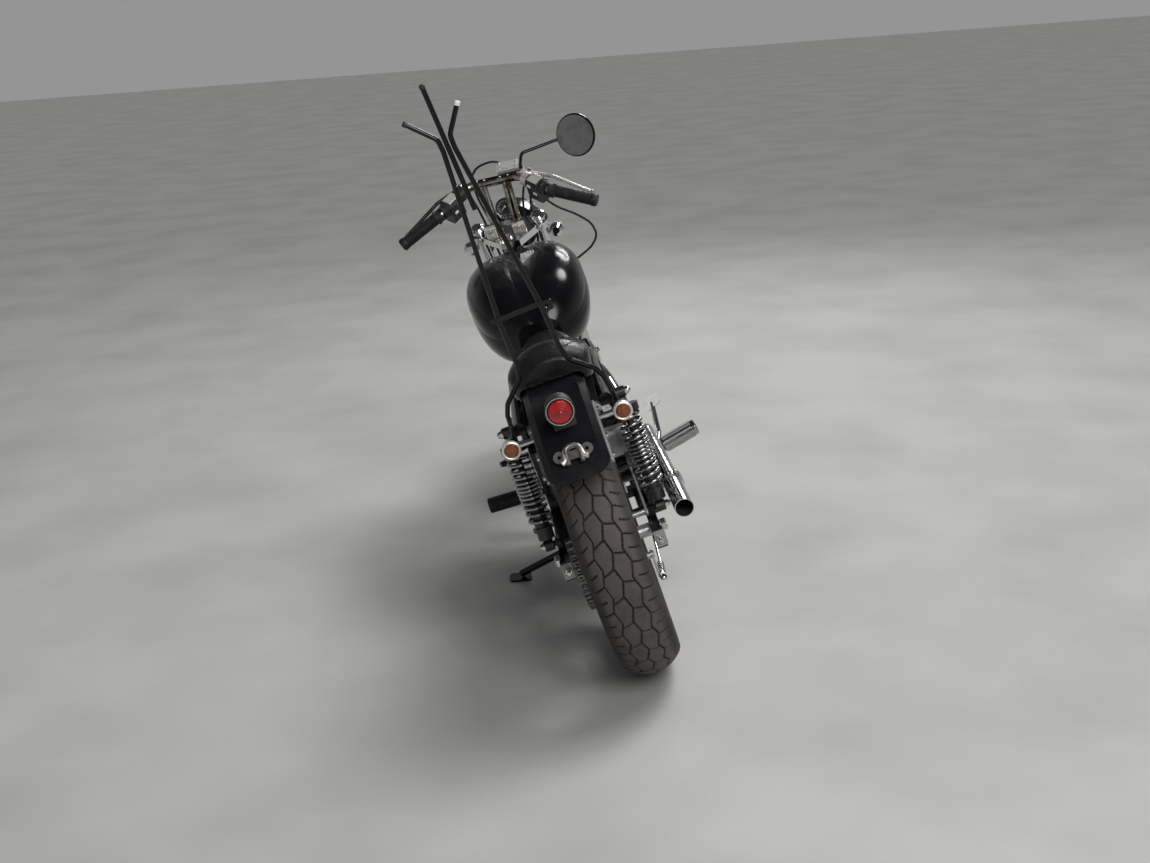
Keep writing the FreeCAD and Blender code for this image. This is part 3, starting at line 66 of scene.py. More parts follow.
# Places and sizes of the CAD model that the pieces here keep to
REAR_AXLE = Vector((0, 0, REAR_Z))
FRONT_HUB = Vector((0, 67, 0))
REAR_TYRE = dict(seat_r=193, section=112, width=138, crown=82, shoulder=42)
FRONT_TYRE = dict(seat_r=229, section=86, width=90, crown=50, shoulder=45)
CHAIN_X = -83
SHOCK_X = 133
SHOCK_LOW, SHOCK_HIGH = Vector((SHOCK_X, 28, 342)), Vector((SHOCK_X, 66, 614))
CRANK = Vector((0, 640, 335))
FRONT_SPROCKET = Vector((0, 548, 348))
FENDER_C, FENDER_R = Vector((0, 0, 382)), 345
TIP_START, TIP_END = Vector((177, 92, 364)), Vector((180, -62, 352))
BAR_TOP, BAR_BEND = Vector((72, 66, 878)), Vector((150, -18, 881))
BAR_END = Vector((269, -67, 850))
YOKE_HALF, YOKE_OFFSET = 88, 40
LEVEL_AHEAD = Vector((0, cos(radians(RAKE)), -sin(radians(RAKE))))   # in the fork's frame
COVER_LEFT = [(512, 262), (512, 415), (560, 428), (690, 405), (740, 330), (700, 235), (560, 228)]
COVER_RIGHT = [(520, 262), (520, 395), (570, 425), (690, 415), (755, 340), (705, 232), (560, 228)]


# Camera, light and floor

def add_object(name, data):
    made = bpy.data.objects.new(name, data)
    bpy.context.scene.collection.objects.link(made)
    return made


def add_camera():
    """Camera as fitted to the photograph, in whose pixels its focal length is given."""
    spot = Vector((-0.310, -3.040, 1.490))
    yaw, pitch, roll = radians(-3.1), radians(16.9), radians(-4.16)
    focal, width, sensor = 1450, 1150, 36
    right = Vector((cos(yaw), sin(yaw), 0))
    level = Vector((-sin(yaw), cos(yaw), 0))
    ahead = level * cos(pitch) - Vector((0, 0, sin(pitch)))
    up = level * sin(pitch) + Vector((0, 0, cos(pitch)))
    x = right * cos(roll) + up * sin(roll)
    y = up * cos(roll) - right * sin(roll)
    camera = add_object("camera", bpy.data.cameras.new("camera"))
    camera.data.sensor_width = sensor
    camera.data.lens = sensor * focal / width
    place = Matrix((x, y, -ahead)).transposed().to_4x4()
    place.translation = SHIFT + spot
    camera.matrix_world = place
    bpy.context.scene.camera = camera


def add_light(name, spot, size, power):
    """Round lamp, its size in metres and its power in watts, aimed at the engine."""
    aim = Vector((0, 0, 0.4))
    light = bpy.data.lights.new(name, "AREA")
    light.shape = "DISK"
    light.size = size
    light.energy = power
    lamp = add_object(name, light)
    lamp.location = spot
    lamp.rotation_euler = (aim - Vector(spot)).to_track_quat("-Z", "Y").to_euler()


def add_sun(strength):
    """Soft light that reaches the floor's far parts and lays a shadow to the left."""
    light = bpy.data.lights.new("even", "SUN")
    light.energy = strength
    light.angle = radians(30)
    lamp = add_object("even", light)
    lamp.rotation_euler = (radians(-14), radians(24), 0)
    lamp.visible_glossy = False


def add_floor():
    """Plain pale floor that reaches far behind the motorcycle."""
    half = 30
    mesh = bpy.data.meshes.new("floor")
    mesh.from_pydata([(-half, -half, 0), (half, -half, 0), (half, half, 0), (-half, half, 0)],
                     [], [(0, 1, 2, 3)])
    floor = add_object("floor", mesh)
    ground = Paint("ground", (0.43, 0.425, 0.41), 0.85)
    ground.mixed((0.36, 0.355, 0.34), 2.2, 0.4, 0.75)
    ground.bump(ground.noise(60, 4), 0.1, 0.002)
    mesh.materials.append(ground.material)


def add_world():
    """Surroundings that camera, metal and glass see, pale low down and dark overhead.

    The object is lit by an even, softer light.
    """
    world = bpy.context.scene.world = bpy.data.worlds.new("studio")
    world.use_nodes = True
    tree = world.node_tree
    path = tree.nodes.new("ShaderNodeLightPath")
    seen = path.outputs["Is Camera Ray"]
    for ray in ("Is Glossy Ray", "Is Transmission Ray"):
        either = tree.nodes.new("ShaderNodeMath")
        either.operation = "MAXIMUM"
        tree.links.new(seen, either.inputs[0])
        tree.links.new(path.outputs[ray], either.inputs[1])
        seen = either.outputs[0]
    parted = tree.nodes.new("ShaderNodeSeparateXYZ")
    tree.links.new(tree.nodes.new("ShaderNodeTexCoord").outputs["Generated"], parted.inputs[0])
    height = map_range(tree, parted.outputs["Z"], 0.05, 0.55, 0, 1)
    seen_colour = mix_of(tree, height, (0.3, 0.3, 0.3, 1), (0.05, 0.05, 0.055, 1))
    colour = mix_of(tree, seen, (0.17, 0.175, 0.18, 1), None)
    tree.links.new(seen_colour.outputs[2], colour.inputs[7])
    tree.links.new(colour.outputs[2], tree.nodes["Background"].inputs["Color"])


def map_range(tree, value, *limits):
    """A value's first two limits mapped to the last two."""
    node = tree.nodes.new("ShaderNodeMapRange")
    for socket, limit in zip(("From Min", "From Max", "To Min", "To Max"), limits):
        node.inputs[socket].default_value = limit
    tree.links.new(value, node.inputs["Value"])
    return node.outputs["Result"]


def mix_of(tree, fac, first, second):
    """Mix node between two colours, of which one or both may be linked later."""
    mix = tree.nodes.new("ShaderNodeMix")
    mix.data_type = "RGBA"
    for socket, value in ((6, first), (7, second)):
        if value:
            mix.inputs[socket].default_value = value
    tree.links.new(fac, mix.inputs[0])
    return mix


# Materials

MATERIALS = {}


class Paint:
    """Procedural material on a Principled shader, in the object's own coordinates in metres."""

    def __init__(self, name, colour, rough, metal=0.0):
        self.material = MATERIALS[name] = bpy.data.materials.new(name)
        self.material.use_nodes = True
        self.tree = self.material.node_tree
        self.shader = self.tree.nodes["Principled BSDF"]
        self.set("Base Color", (*colour, 1))
        self.set("Metallic", metal)
        self.set("Roughness", rough)
        self.colour, self.rough = colour, rough
        self.where = self.node("ShaderNodeTexCoord").outputs["Object"]
        self.height = None

    def node(self, kind, **fields):
        made = self.tree.nodes.new(kind)
        for key, value in fields.items():
            setattr(made, key, value)
        return made

    def set(self, socket, value):
        self.shader.inputs[socket].default_value = value

    def noise(self, scale, detail, stretch=None):
        made = self.node("ShaderNodeTexNoise")
        made.inputs["Scale"].default_value = scale
        made.inputs["Detail"].default_value = detail
        source = self.where
        if stretch:
            mapping = self.node("ShaderNodeMapping")
            mapping.inputs["Scale"].default_value = stretch
            self.tree.links.new(self.where, mapping.inputs["Vector"])
            source = mapping.outputs["Vector"]
        self.tree.links.new(source, made.inputs["Vector"])
        return made.outputs["Fac"]

    def cells(self, scale, feature="F1"):
        made = self.node("ShaderNodeTexVoronoi", feature=feature)
        made.inputs["Scale"].default_value = scale
        self.tree.links.new(self.where, made.inputs["Vector"])
        return made.outputs["Distance"]

    def worn(self, scale, change):
        """Roughness that varies over the surface."""
        limits = (0.3, 0.7, self.rough - change, self.rough + change)
        result = map_range(self.tree, self.noise(scale, 5), *limits)
        self.tree.links.new(result, self.shader.inputs["Roughness"])

    def mixed(self, other, scale, start, end):
        """A second colour in patches where the noise passes from start to end."""
        self.mix_in(other, map_range(self.tree, self.noise(scale, 6), start, end, 0, 1))

    def mix_in(self, other, fac):
        """A second colour over what the base colour is so far."""
        base = self.shader.inputs["Base Color"]
        mix = mix_of(self.tree, fac, (*self.colour, 1), (*other, 1))
        if base.links:
            self.tree.links.new(base.links[0].from_socket, mix.inputs[6])
        self.tree.links.new(mix.outputs[2], base)

    def bump(self, height, strength, distance):
        """Relief over any relief so far, its height in metres."""
        made = self.node("ShaderNodeBump")
        made.inputs["Strength"].default_value = strength
        made.inputs["Distance"].default_value = distance
        self.tree.links.new(height, made.inputs["Height"])
        if self.height:
            self.tree.links.new(self.height, made.inputs["Normal"])
        self.height = made.outputs["Normal"]
        self.tree.links.new(self.height, self.shader.inputs["Normal"])


def sprayed(name, colour, rough, shine, dust):
    """Enamel with fine dust in patches and orange peel."""
    p = Paint(name, colour, rough)
    p.set("Specular IOR Level", shine)
    p.mixed(dust, 9, 0.55, 0.95)
    p.worn(35, 0.06)
    p.bump(p.noise(420, 2), 0.12, 0.0006)


def plated(name, colour, rough, tarnish, patch=(0.55, 0.85)):
    """Bright plating with small tarnished spots and hairline marks."""
    p = Paint(name, colour, rough, 1.0)
    p.mixed(tarnish, 28, *patch)
    p.worn(60, rough * 0.6)
    p.bump(p.noise(900, 3, (1, 0.15, 1)), 0.06, 0.0004)


def cast(name, colour, rough, dark, metal=0.9):
    """Cast metal with a grainy skin and grime in patches."""
    p = Paint(name, colour, rough, metal)
    p.mixed(dark, 22, 0.5, 0.9)
    p.worn(80, 0.1)
    p.bump(p.noise(1400, 4), 0.35, 0.0007)


def lens(name, colour):
    """Tinted plastic with fine prisms moulded in."""
    p = Paint(name, colour, 0.12)
    p.set("Transmission Weight", 0.35)
    p.set("IOR", 1.49)
    p.set("Coat Weight", 0.5)
    p.mixed([c * 0.45 for c in colour], 45, 0.45, 0.7)
    p.bump(p.cells(330), 0.5, 0.0012)


def moulded(name, colour, rough, other, scale, start=0.5):
    """Plastic or rubber with a second colour in patches, still without its grain."""
    p = Paint(name, colour, rough)
    p.mixed(other, scale, start, 0.8)
    return p


def make_materials():
    sprayed("black_paint", (0.004, 0.004, 0.005), 0.17, 0.4, (0.02, 0.019, 0.018))
    sprayed("satin_black", (0.007, 0.007, 0.009), 0.36, 0.22, (0.03, 0.029, 0.028))
    plated("chrome", (0.66, 0.66, 0.67), 0.12, (0.36, 0.33, 0.29))
    # Chrome painted darker: a painted shade for the dark reflections and shadows on the shock
    # coils; the right peg sleeve takes it too.
    plated("chrome_with_painted_shade", (0.4, 0.39, 0.39), 0.18, (0.12, 0.09, 0.07))
    plated("rusty", (0.5, 0.48, 0.45), 0.24, (0.11, 0.075, 0.05), (0.42, 0.62))
    plated("bolt", (0.64, 0.63, 0.61), 0.22, (0.3, 0.24, 0.18))
    cast("bezel", (0.84, 0.82, 0.78), 0.28, (0.66, 0.62, 0.56), 0.6)
    cast("dark_metal", (0.07, 0.067, 0.065), 0.34, (0.03, 0.025, 0.02), 0.8)
    cast("satin_grey", (0.42, 0.42, 0.42), 0.42, (0.2, 0.19, 0.18), 0.5)
    cast("aluminium", (0.6, 0.6, 0.6), 0.36, (0.3, 0.29, 0.27))
    cast("engine_black", (0.035, 0.035, 0.037), 0.5, (0.09, 0.085, 0.08), 0.3)
    cast("steel", (0.3, 0.29, 0.28), 0.36, (0.1, 0.075, 0.06))
    lens("red_lens", (0.62, 0.006, 0.014))
    lens("amber_lens", (0.34, 0.088, 0.024))
    p = Paint("tyre", (0.022, 0.021, 0.02), 0.75)
    p.mixed((0.05, 0.046, 0.042), 14, 0.42, 0.72)
    wear = p.node("ShaderNodeAttribute", attribute_name="wear").outputs["Fac"]
    p.mix_in((0.088, 0.075, 0.067), wear)
    p.mixed((0.045, 0.04, 0.036), 30, 0.5, 0.85)
    p.worn(120, 0.1)
    p.bump(p.noise(700, 5), 0.4, 0.0008)
    p = moulded("rubber", (0.012, 0.012, 0.013), 0.55, (0.04, 0.038, 0.036), 60)
    p.worn(90, 0.1)
    p.bump(p.noise(1100, 4), 0.3, 0.0005)
    p = moulded("plastic", (0.02, 0.02, 0.021), 0.45, (0.045, 0.044, 0.043), 30)
    p.worn(150, 0.1)
    p.bump(p.cells(1500), 0.15, 0.0004)
    p = Paint("leather", (0.009, 0.0088, 0.009), 0.3)
    p.set("Specular IOR Level", 0.35)
    p.mixed((0.026, 0.025, 0.024), 16, 0.5, 0.85)
    p.worn(70, 0.09)
    p.bump(p.cells(520, "DISTANCE_TO_EDGE"), 0.4, 0.0008)
    p.bump(p.noise(35, 5, (1, 2.5, 1)), 0.35, 0.004)
    p = moulded("soot", (0.012, 0.011, 0.01), 0.9, (0.05, 0.04, 0.032), 60, 0.45)
    p.bump(p.noise(600, 5), 0.5, 0.001)
    p = moulded("cap_plastic", (0.9, 0.88, 0.84), 0.3, (0.7, 0.68, 0.62), 60)
    p.bump(p.noise(900, 3), 0.15, 0.0004)
    p = moulded("dial", (0.03, 0.03, 0.032), 0.4, (0.06, 0.058, 0.055), 50)
    p.bump(p.noise(1200, 2), 0.1, 0.0003)
    p = Paint("mirror_glass", (0.36, 0.36, 0.37), 0.1, 1.0)
    p.mixed((0.2, 0.2, 0.21), 40, 0.5, 0.8)
    p.worn(120, 0.04)
    p = Paint("clear_lens", (0.88, 0.9, 0.9), 0.06)
    p.set("Transmission Weight", 0.85)
    p.set("IOR", 1.5)
    p.mixed((0.7, 0.72, 0.7), 50, 0.5, 0.9)
    p.bump(p.noise(150, 1, (1, 0.02, 0.02)), 0.6, 0.002)


NODE_LOOKS = {
    "black_paint": "frame_spine frame_cradle fuel_tank sissy_bar mirror chain_guard side_stand "
                   "swingarm front_fender headlight",
    "satin_black": "rear_fender battery_box",
    "engine_black": "cylinders",
    "aluminium": "crankcase fork_sliders front_caliper rear_axle",
    "bezel": "brake_lever",
    "chrome": "yokes rear_wheel front_wheel fork_tubes exhaust intake rear_signals front_signals "
              "speedometer brake_pedal gear_lever",
    "dark_metal": "shock_absorbers clutch_lever",
    "satin_grey": "fender_stays torque_arm",
    "rusty": "handlebar",
    "steel": "rear_sprocket front_disc foot_pegs plate_bracket",
    "plastic": "tail_light switches",
    "rubber": "control_cables",
    "red_lens": "tail_lens",
    "amber_lens": "rear_lenses front_lenses",
    "mirror_glass": "mirror_glass",
    "clear_lens": "headlight_glass",
    "tyre": "rear_tyre front_tyre",
    "leather": "seat",
    "bolt": "drive_chain",
}


def dress_nodes():
    """Gives every CAD node its material, and the smooth shading of a turned or bent surface."""
    for look, names in NODE_LOOKS.items():
        for name in names.split():
            mesh = NODES[name].data
            mesh.materials.clear()
            mesh.materials.append(MATERIALS[look])
            mesh.shade_smooth()
            mesh.set_sharp_from_angle(angle=radians(28))


# Mesh building

class Form:
    """Faces gathered in the bike's or the fork's frame, in millimetres, for one piece."""

    def __init__(self, place=BIKE):
        self.place = place
        self.points = []
        self.faces = []

    def add(self, points, faces):
        start = len(self.points)
        self.points += points
        self.faces += [tuple(start + i for i in face) for face in faces]
        return self

    def lathe(self, profile, base, direction, sides=24, loop=False):
        """Surface of revolution from (radius, height) pairs about a direction."""
        base = Vector(base)
        turn = Z.rotation_difference(Vector(direction)).to_matrix()
        rings, points, faces = [], [], []
        for r, h in profile:
            count = sides if r > 0 else 1
            rings.append(range(len(points), len(points) + count))
            points += [base + turn @ Vector((r * cos(2 * pi * i / sides),
                                             r * sin(2 * pi * i / sides), h))
                       for i in range(count)]
        pairs = list(zip(rings, rings[1:])) + ([(rings[-1], rings[0])] if loop else [])
        for under, over in pairs:
            for i in range(sides):
                j = (i + 1) % sides
                corners = ((under, i), (under, j), (over, j), (over, i))
                face = tuple(dict.fromkeys(ring[k % len(ring)] for ring, k in corners))
                if len(face) > 2:
                    faces.append(face)
        return self.add(points, faces)

    def tube(self, line, r, sides=10, loop=False):
        """Round wire along a line of points."""
        line = [Vector(p) for p in line]
        n = len(line)
        ring_points, faces = [], []
        side = None
        for i, p in enumerate(line):
            ahead = line[(i + 1) % n] if loop or i + 1 < n else p
            behind = line[i - 1] if loop or i else p
            along = (ahead - behind).normalized()
            side = side or along.orthogonal()
            side = (side - along * side.dot(along)).normalized()
            other = along.cross(side)
            turns = [2 * pi * k / sides for k in range(sides)]
            ring_points += [p + (side * cos(t) + other * sin(t)) * r for t in turns]
        for i in range(n if loop else n - 1):
            a, b = i * sides, (i + 1) % n * sides
            faces += [(a + k, a + (k + 1) % sides, b + (k + 1) % sides, b + k)
                      for k in range(sides)]
        if not loop:
            faces.append(tuple(reversed(range(sides))))
            faces.append(tuple(range((n - 1) * sides, n * sides)))
        return self.add(ring_points, faces)

    def slab(self, outline, thick):
        """Prism from an outline and a thickness vector."""
        n = len(outline)
        outline = [Vector(p) for p in outline]
        points = outline + [p + Vector(thick) for p in outline]
        faces = [tuple(reversed(range(n))), tuple(range(n, 2 * n))]
        faces += [(i, (i + 1) % n, n + (i + 1) % n, n + i) for i in range(n)]
        return self.add(points, faces)

    def bolt(self, spot, direction, r, height):
        """Hexagon head on a washer."""
        self.lathe([(0, 0), (r * 1.35, 0), (r * 1.35, 1.2), (0, 1.2)], spot, direction, 20)
        head = [(r, 1.2), (r, height * 0.8 + 1), (r * 0.84, height + 1), (0, height + 1)]
        return self.lathe(head, spot, direction, 6)

    def socket_screw(self, spot, direction, r, height):
        """Round head with a hollow in its end."""
        return self.lathe([(r, 0), (r, height - 0.8), (r - 0.8, height), (r * 0.5, height),
                           (r * 0.5, height - 2), (0, height - 2)], spot, direction, 16)

    def build(self, name, look, body=None, angle=32):
        """Piece on a body, by default its frame's, smooth but for edges over the angle."""
        mesh = bpy.data.meshes.new(name)
        mesh.from_pydata([self.place @ p for p in self.points], [], self.faces)
        mesh.materials.append(MATERIALS[look])
        mesh.shade_smooth()
        mesh.set_sharp_from_angle(angle=radians(angle))
        piece = add_object(name, mesh)
        body = body or ("steering" if self.place is FORK else "chassis")
        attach(piece, body)
        return piece


def helix(a, b, r, turns, steps=16):
    """Points of a coil round the line from a to b, whose last turns at each end lie closer."""
    a, b = Vector(a), Vector(b)
    along = (b - a).normalized()
    side = along.orthogonal().normalized()
    other = along.cross(side)
    line = []
    count = turns * steps
    for i in range(count + 1):
        t = i / count
        rise = t + 0.35 * sin(2 * pi * t) / (2 * pi)
        turn = 2 * pi * i / steps
        line.append(a + (b - a) * rise + (side * cos(turn) + other * sin(turn)) * r)
    return line


def on_side(p, side):
    """The point as it is on the right, or across the middle plane on the left."""
    return Vector((p[0] * side, p[1], p[2]))


def radial(turn, r=1.0):
    """Vector across the axles, turned up from straight ahead."""
    return Vector((0, r * cos(turn), r * sin(turn)))


def ring_spots(centre, r, count, start=0.0):
    """Points spaced evenly round an axle."""
    return [Vector(centre) + radial(start + 2 * pi * i / count, r) for i in range(count)]


def on_line(a, b, distance):
    """Point at a distance from a on the way to b."""
    return a + (b - a).normalized() * distance


# Tyres

HEXAGONS = 30
REAR_PERIOD = 2 * pi * (REAR_TYRE["seat_r"] + REAR_TYRE["section"]) / HEXAGONS
SIDEWALL = 999               # distance across the tread that marks points beside it


def to_nearest(v, period):
    """Distance from v to the nearest whole number of periods."""
    return abs((v + period / 2) % period - period / 2)


def zigzag(v, period, reach):
    """Sway of a zigzag line to both sides."""
    t = (v / period) % 1
    return reach * (4 * abs(t - 0.5) - 1)


def groove_depth(near, wide, depth):
    """Depth of a groove with sloped walls, at a distance from its middle line."""
    wall = 1.4
    return depth * max(0.0, min(1.0, (wide - near) / wall))


def rear_groove(u, v):
    """Depth of the rear tread at u across and v round.

    Three zigzag grooves bound two columns of staggered hexagons. Slanted rungs part the
    hexagons where the zigzags come near, and grooves run out to the shoulders between them.
    """
    period, line_u, reach = REAR_PERIOD, 33, 5
    sway = zigzag(v, period, reach)
    lines = min(abs(u + sway), abs(u - line_u - sway), abs(u + line_u - sway)) * 0.95
    right = u > -sway
    start, slant = (period / 2, 0.3) if right else (0, 0.45)
    out = abs(u)
    if out > line_u + (sway if right else -sway):
        start += period / 2
        out -= line_u
    rung = to_nearest(v - start - slant * out, period) * 0.93
    if abs(u) > 43:
        rung = min(rung, to_nearest(v - start - period / 2 - slant * out, period) * 0.93)
    return groove_depth(min(lines, rung), 2.2, 5.0)


def front_groove(u, v):
    """Depth of the front tread: two straight ribs and slanted side cuts."""
    period = 41.4
    line = abs(abs(u) - 13)
    sway = abs(u - zigzag(v, period, 2.5))
    near = min(line, sway + 0.8)
    if abs(u) > 17:
        start = 0 if u > 0 else period / 2
        near = min(near, to_nearest(v + 0.8 * abs(u) + start, period) * 0.8)
    return groove_depth(near, 2.6, 4.5)


def tyre_form(place, centre, groove, rounds, across, seat_r, section, width, crown, shoulder):
    """Tyre with a moulded tread, sidewall ribs and beads, and how worn each point is, 0 to 1."""
    top = seat_r + section - crown
    edge = crown * radians(shoulder)
    rows = []
    for i in range(across + 1):
        turn = radians(shoulder) * (2 * i / across - 1)
        nx, nr = sin(turn), cos(turn)
        rows.append((crown * nx, top + crown * nr, nx, nr, crown * turn))
    x0, r0 = rows[-1][:2]
    bead = width / 3
    side = [(x0 + (width / 2 - x0) * 0.55, r0 - 7), (width / 2 - 0.6, seat_r + section * 0.66),
            (width / 2, seat_r + section * 0.56), (width / 2 - 1.6, seat_r + section * 0.44),
            (width / 2 - 0.8, seat_r + section * 0.42), (width / 2 - 6, seat_r + section * 0.3),
            (bead + 5, seat_r + 17), (bead + 5.5, seat_r + 14), (bead + 1, seat_r + 8),
            (bead, seat_r), (bead - 8, seat_r)]
    profile = [(-x, r, 0, 0, -SIDEWALL) for x, r in reversed(side)] + rows
    profile += [(x, r, 0, 0, SIDEWALL) for x, r in side]
    points, faces, wear = [], [], []
    n = len(profile)
    around = 2 * pi * (seat_r + section)
    for j in range(rounds):
        turn = 2 * pi * j / rounds
        v = around * j / rounds
        for x, r, nx, nr, u in profile:
            cut = groove(u, v) if abs(u) < SIDEWALL else 0.0
            wear.append(0.0 if cut > 1 else max(0.0, min(1.0, (edge - abs(u)) / 14 + 0.2)))
            points.append(centre + X * (x - nx * cut) + radial(turn, r - nr * cut))
        a, b = j * n, (j + 1) % rounds * n
        faces += [(a + i, a + i + 1, b + i + 1, b + i) for i in range(n - 1)]
    return Form(place).add(points, faces), wear


def tyres():
    """Both tyres, whose blocks are worn paler than their grooves."""
    rear = tyre_form(BIKE, REAR_AXLE, rear_groove, 840, 64, **REAR_TYRE)
    front = tyre_form(FORK, FRONT_HUB, front_groove, 720, 48, **FRONT_TYRE)
    for wheel, (form, wear) in (("rear", rear), ("front", front)):
        tread = form.build(wheel + "_tyre_tread", "tyre", wheel + "_wheel", 40)
        tread.data.attributes.new("wear", "FLOAT", "POINT").data.foreach_set("value", wear)
        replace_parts(tread, wheel + "_tyre")


def wheel_fittings():
    """Spoke nipples, valve stems, and the bolts of the sprocket and the disc."""
    spokes = 36
    wheels = (("rear_wheel", BIKE, REAR_AXLE, REAR_TYRE),
              ("front_wheel", FORK, FRONT_HUB, FRONT_TYRE))
    for body, place, centre, tyre in wheels:
        rim_r = tyre["seat_r"] - 12
        form, stem = Form(place), Form(place)
        for i in range(spokes):
            side = 1 if i % 2 else -1
            out = radial(2 * pi * i / spokes)
            form.lathe([(2.2, -14), (3.4, -13), (3.4, -2), (4.4, 0), (0, 0)],
                       centre + out * rim_r + X * side * 6, out + X * side * -0.2, 6)
        form.build(body + "_nipples", "bolt", body)
        out = radial(0.4)
        stem.lathe([(4, 0), (4, 14), (3, 15), (3, 30), (4, 30), (4, 37), (0, 38)],
                   centre + out * rim_r, -out, 12)
        stem.build(body + "_valve", "rubber", body)
    form = Form()
    for spot in ring_spots((CHAIN_X - 3.2, 0, REAR_Z), 52, 6, 0.26):
        form.bolt(spot, -X, 5.5, 5)
    form.build("sprocket_bolts", "bolt", "rear_wheel")
    form = Form(FORK)
    for spot in ring_spots(FRONT_HUB + X * 58.3, 26, 5):
        form.socket_screw(spot, X, 4.5, 4)
    form.build("disc_bolts", "bolt", "front_wheel")


# Chain and springs

def chain_pins():
    """Pins in order along the pitch line, in step with the rear sprocket's teeth."""
    pitch, teeth, small_teeth = 15.875, 48, 15
    big = pitch / 2 / sin(pi / teeth)
    small = pitch / 2 / sin(pi / small_teeth)
    run = FRONT_SPROCKET - REAR_AXLE
    tilt = atan2(run.z, run.y)
    open_angle = acos((big - small) / run.length)
    upper, lower = tilt + open_angle, tilt - open_angle
    step = 2 * pi / teeth
    first, last = int(upper / step) + 1, int((lower + 2 * pi) / step)
    pins = [REAR_AXLE + radial(step * i, big) for i in range(first, last + 1)]
    turns = [lower + (upper - lower) * i / 40 for i in range(41)]
    rest = [pins[-1], *(FRONT_SPROCKET + radial(t, small) for t in turns), pins[0]]
    lengths = [(b - a).length for a, b in zip(rest, rest[1:])]
    links = round(sum(lengths) / pitch)
    gap = sum(lengths) / links
    place, reached = 0, 0.0
    for i in range(1, links):
        while reached + lengths[place] < gap * i:
            reached += lengths[place]
            place += 1
        a, b = rest[place], rest[place + 1]
        pins.append(a + (b - a) * ((gap * i - reached) / lengths[place]))
    return pins


def chain():
    """Roller chain: inner and outer plates by turns, waisted between the pins, and rollers."""
    end_r, waist, thick = 6.2, 4.4, 1.4
    plates, rollers = Form(), Form()
    pins = chain_pins()
    for i, a in enumerate(pins):
        b = pins[(i + 1) % len(pins)]
        along = (b - a).normalized()
        up = X.cross(along)
        outline = []
        for centre, way in ((a, -end_r), (b, end_r)):
            for k in range(7):
                turn = radians(-66 + 22 * k)
                outline.append(centre + along * way * cos(turn) + up * way * sin(turn))
            outline.append((a + b) / 2 + up * way * waist / end_r)
        offset = 6.9 if i % 2 else 5.0
        for x in (CHAIN_X - offset - thick, CHAIN_X + offset):
            plates.slab([p + X * x for p in outline], X * thick)
        rollers.lathe([(0, -8.4), (2.6, -8.4), (2.6, -4.7), (5, -4.7), (5, 4.7), (2.6, 4.7),
                       (2.6, 8.4), (0, 8.4)], a + X * CHAIN_X, X, 10)
    links = plates.build("chain_links", "steel", angle=20)
    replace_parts(links, "drive_chain")
    rollers.build("chain_rollers", "steel")


def springs():
    """Coils of the rear dampers, with the bushes of their eyes and domed nuts on washers."""
    coils, nuts, bushes = Form(), Form(), Form()
    nut = (([(12.15, 0), (12.15, 1.6), (0, 1.6)], 24), ([(9, 1.6), (9, 6.75), (0, 6.75)], 6),
           ([(7.74, 6.75), (7.2, 9.9), (4.5, 13.05), (0, 14.4)], 20))
    low_end, high_end = (SHOCK_LOW.lerp(SHOCK_HIGH, t) for t in (0.186, 0.814))
    line = helix(low_end, high_end, 24.2, 13, 18)
    for side in SIDES:
        coils.tube([on_side(p, side) for p in line], 4.2)
        for spot in (SHOCK_LOW, SHOCK_HIGH):
            end, way = on_side(spot, side), X * side
            for profile, sides in nut:
                nuts.lathe(profile, end + way * 11, way, sides)
            bushes.lathe([(12, -0.6), (11, 1), (7.4, 1)], end + way * 10.2, way)
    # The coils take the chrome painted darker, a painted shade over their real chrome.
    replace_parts(coils.build("shock_coils", "chrome_with_painted_shade", angle=60), "shock_springs")
    nuts.build("shock_nuts", "chrome")
    bushes.build("shock_bushes", "rubber")


# Lamps

def tail_lamp():
    """Ribbed red lens with three rings round it."""
    tail = FENDER_C + radial(radians(126), 401) + Vector((3, 1.5, 0))
    rings = (("tail_bezel", "plastic", 25.4, 27.4), ("tail_ring", "bezel", 27.4, 29.2),
             ("tail_rubber", "rubber", 29.2, 31.4))
    for name, look, inner, outer in rings:
        profile = [(inner, -3), (inner, 4.4), (inner + 0.6, 5.2), (outer - 0.6, 5.2),
                   (outer, 4.4), (outer, -3)]
        Form().lathe(profile, tail, -Y, 48, True).build(name, look)
    glass = [(0, 0), (24.6, 0), (24.6, 4)]
    for k in range(8):
        r, rise = 23.6 - 2.7 * k, 8.5 + 0.8 * k
        glass += [(r, rise), (r - 1.5, rise + 1.2)]
    glass.append((0, 16.2))
    piece = Form().lathe(glass, tail, -Y, 40).build("tail_lens_ribbed", "red_lens", angle=60)
    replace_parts(piece, "tail_lens")


def signals():
    """Rim of each signal lamp, with two small screws."""
    front = Vector((126, 40, 670)) - LEVEL_AHEAD * 18
    ends = (("rear", BIKE, Vector((124, -102, 633)), -Y), ("front", FORK, front, LEVEL_AHEAD))
    for end, place, lens_at, way in ends:
        rims, screws = Form(place), Form(place)
        for side in SIDES:
            base = on_side(lens_at, side)
            rims.lathe([(15.4, 34), (15.8, 38.4), (17.4, 39.2), (20, 38), (20.9, 35.4),
                        (20.9, 30), (20.2, 30)], base, way, 40)
            for turn in (0.6, 0.6 + pi):
                out = way.cross(X) * cos(turn) + X * sin(turn)
                screws.socket_screw(base + way * 37 + out * 17.9, way, 1.5, 2.2)
        rims.build(end + "_signal_rims", "bezel")
        screws.build(end + "_signal_screws", "bolt")


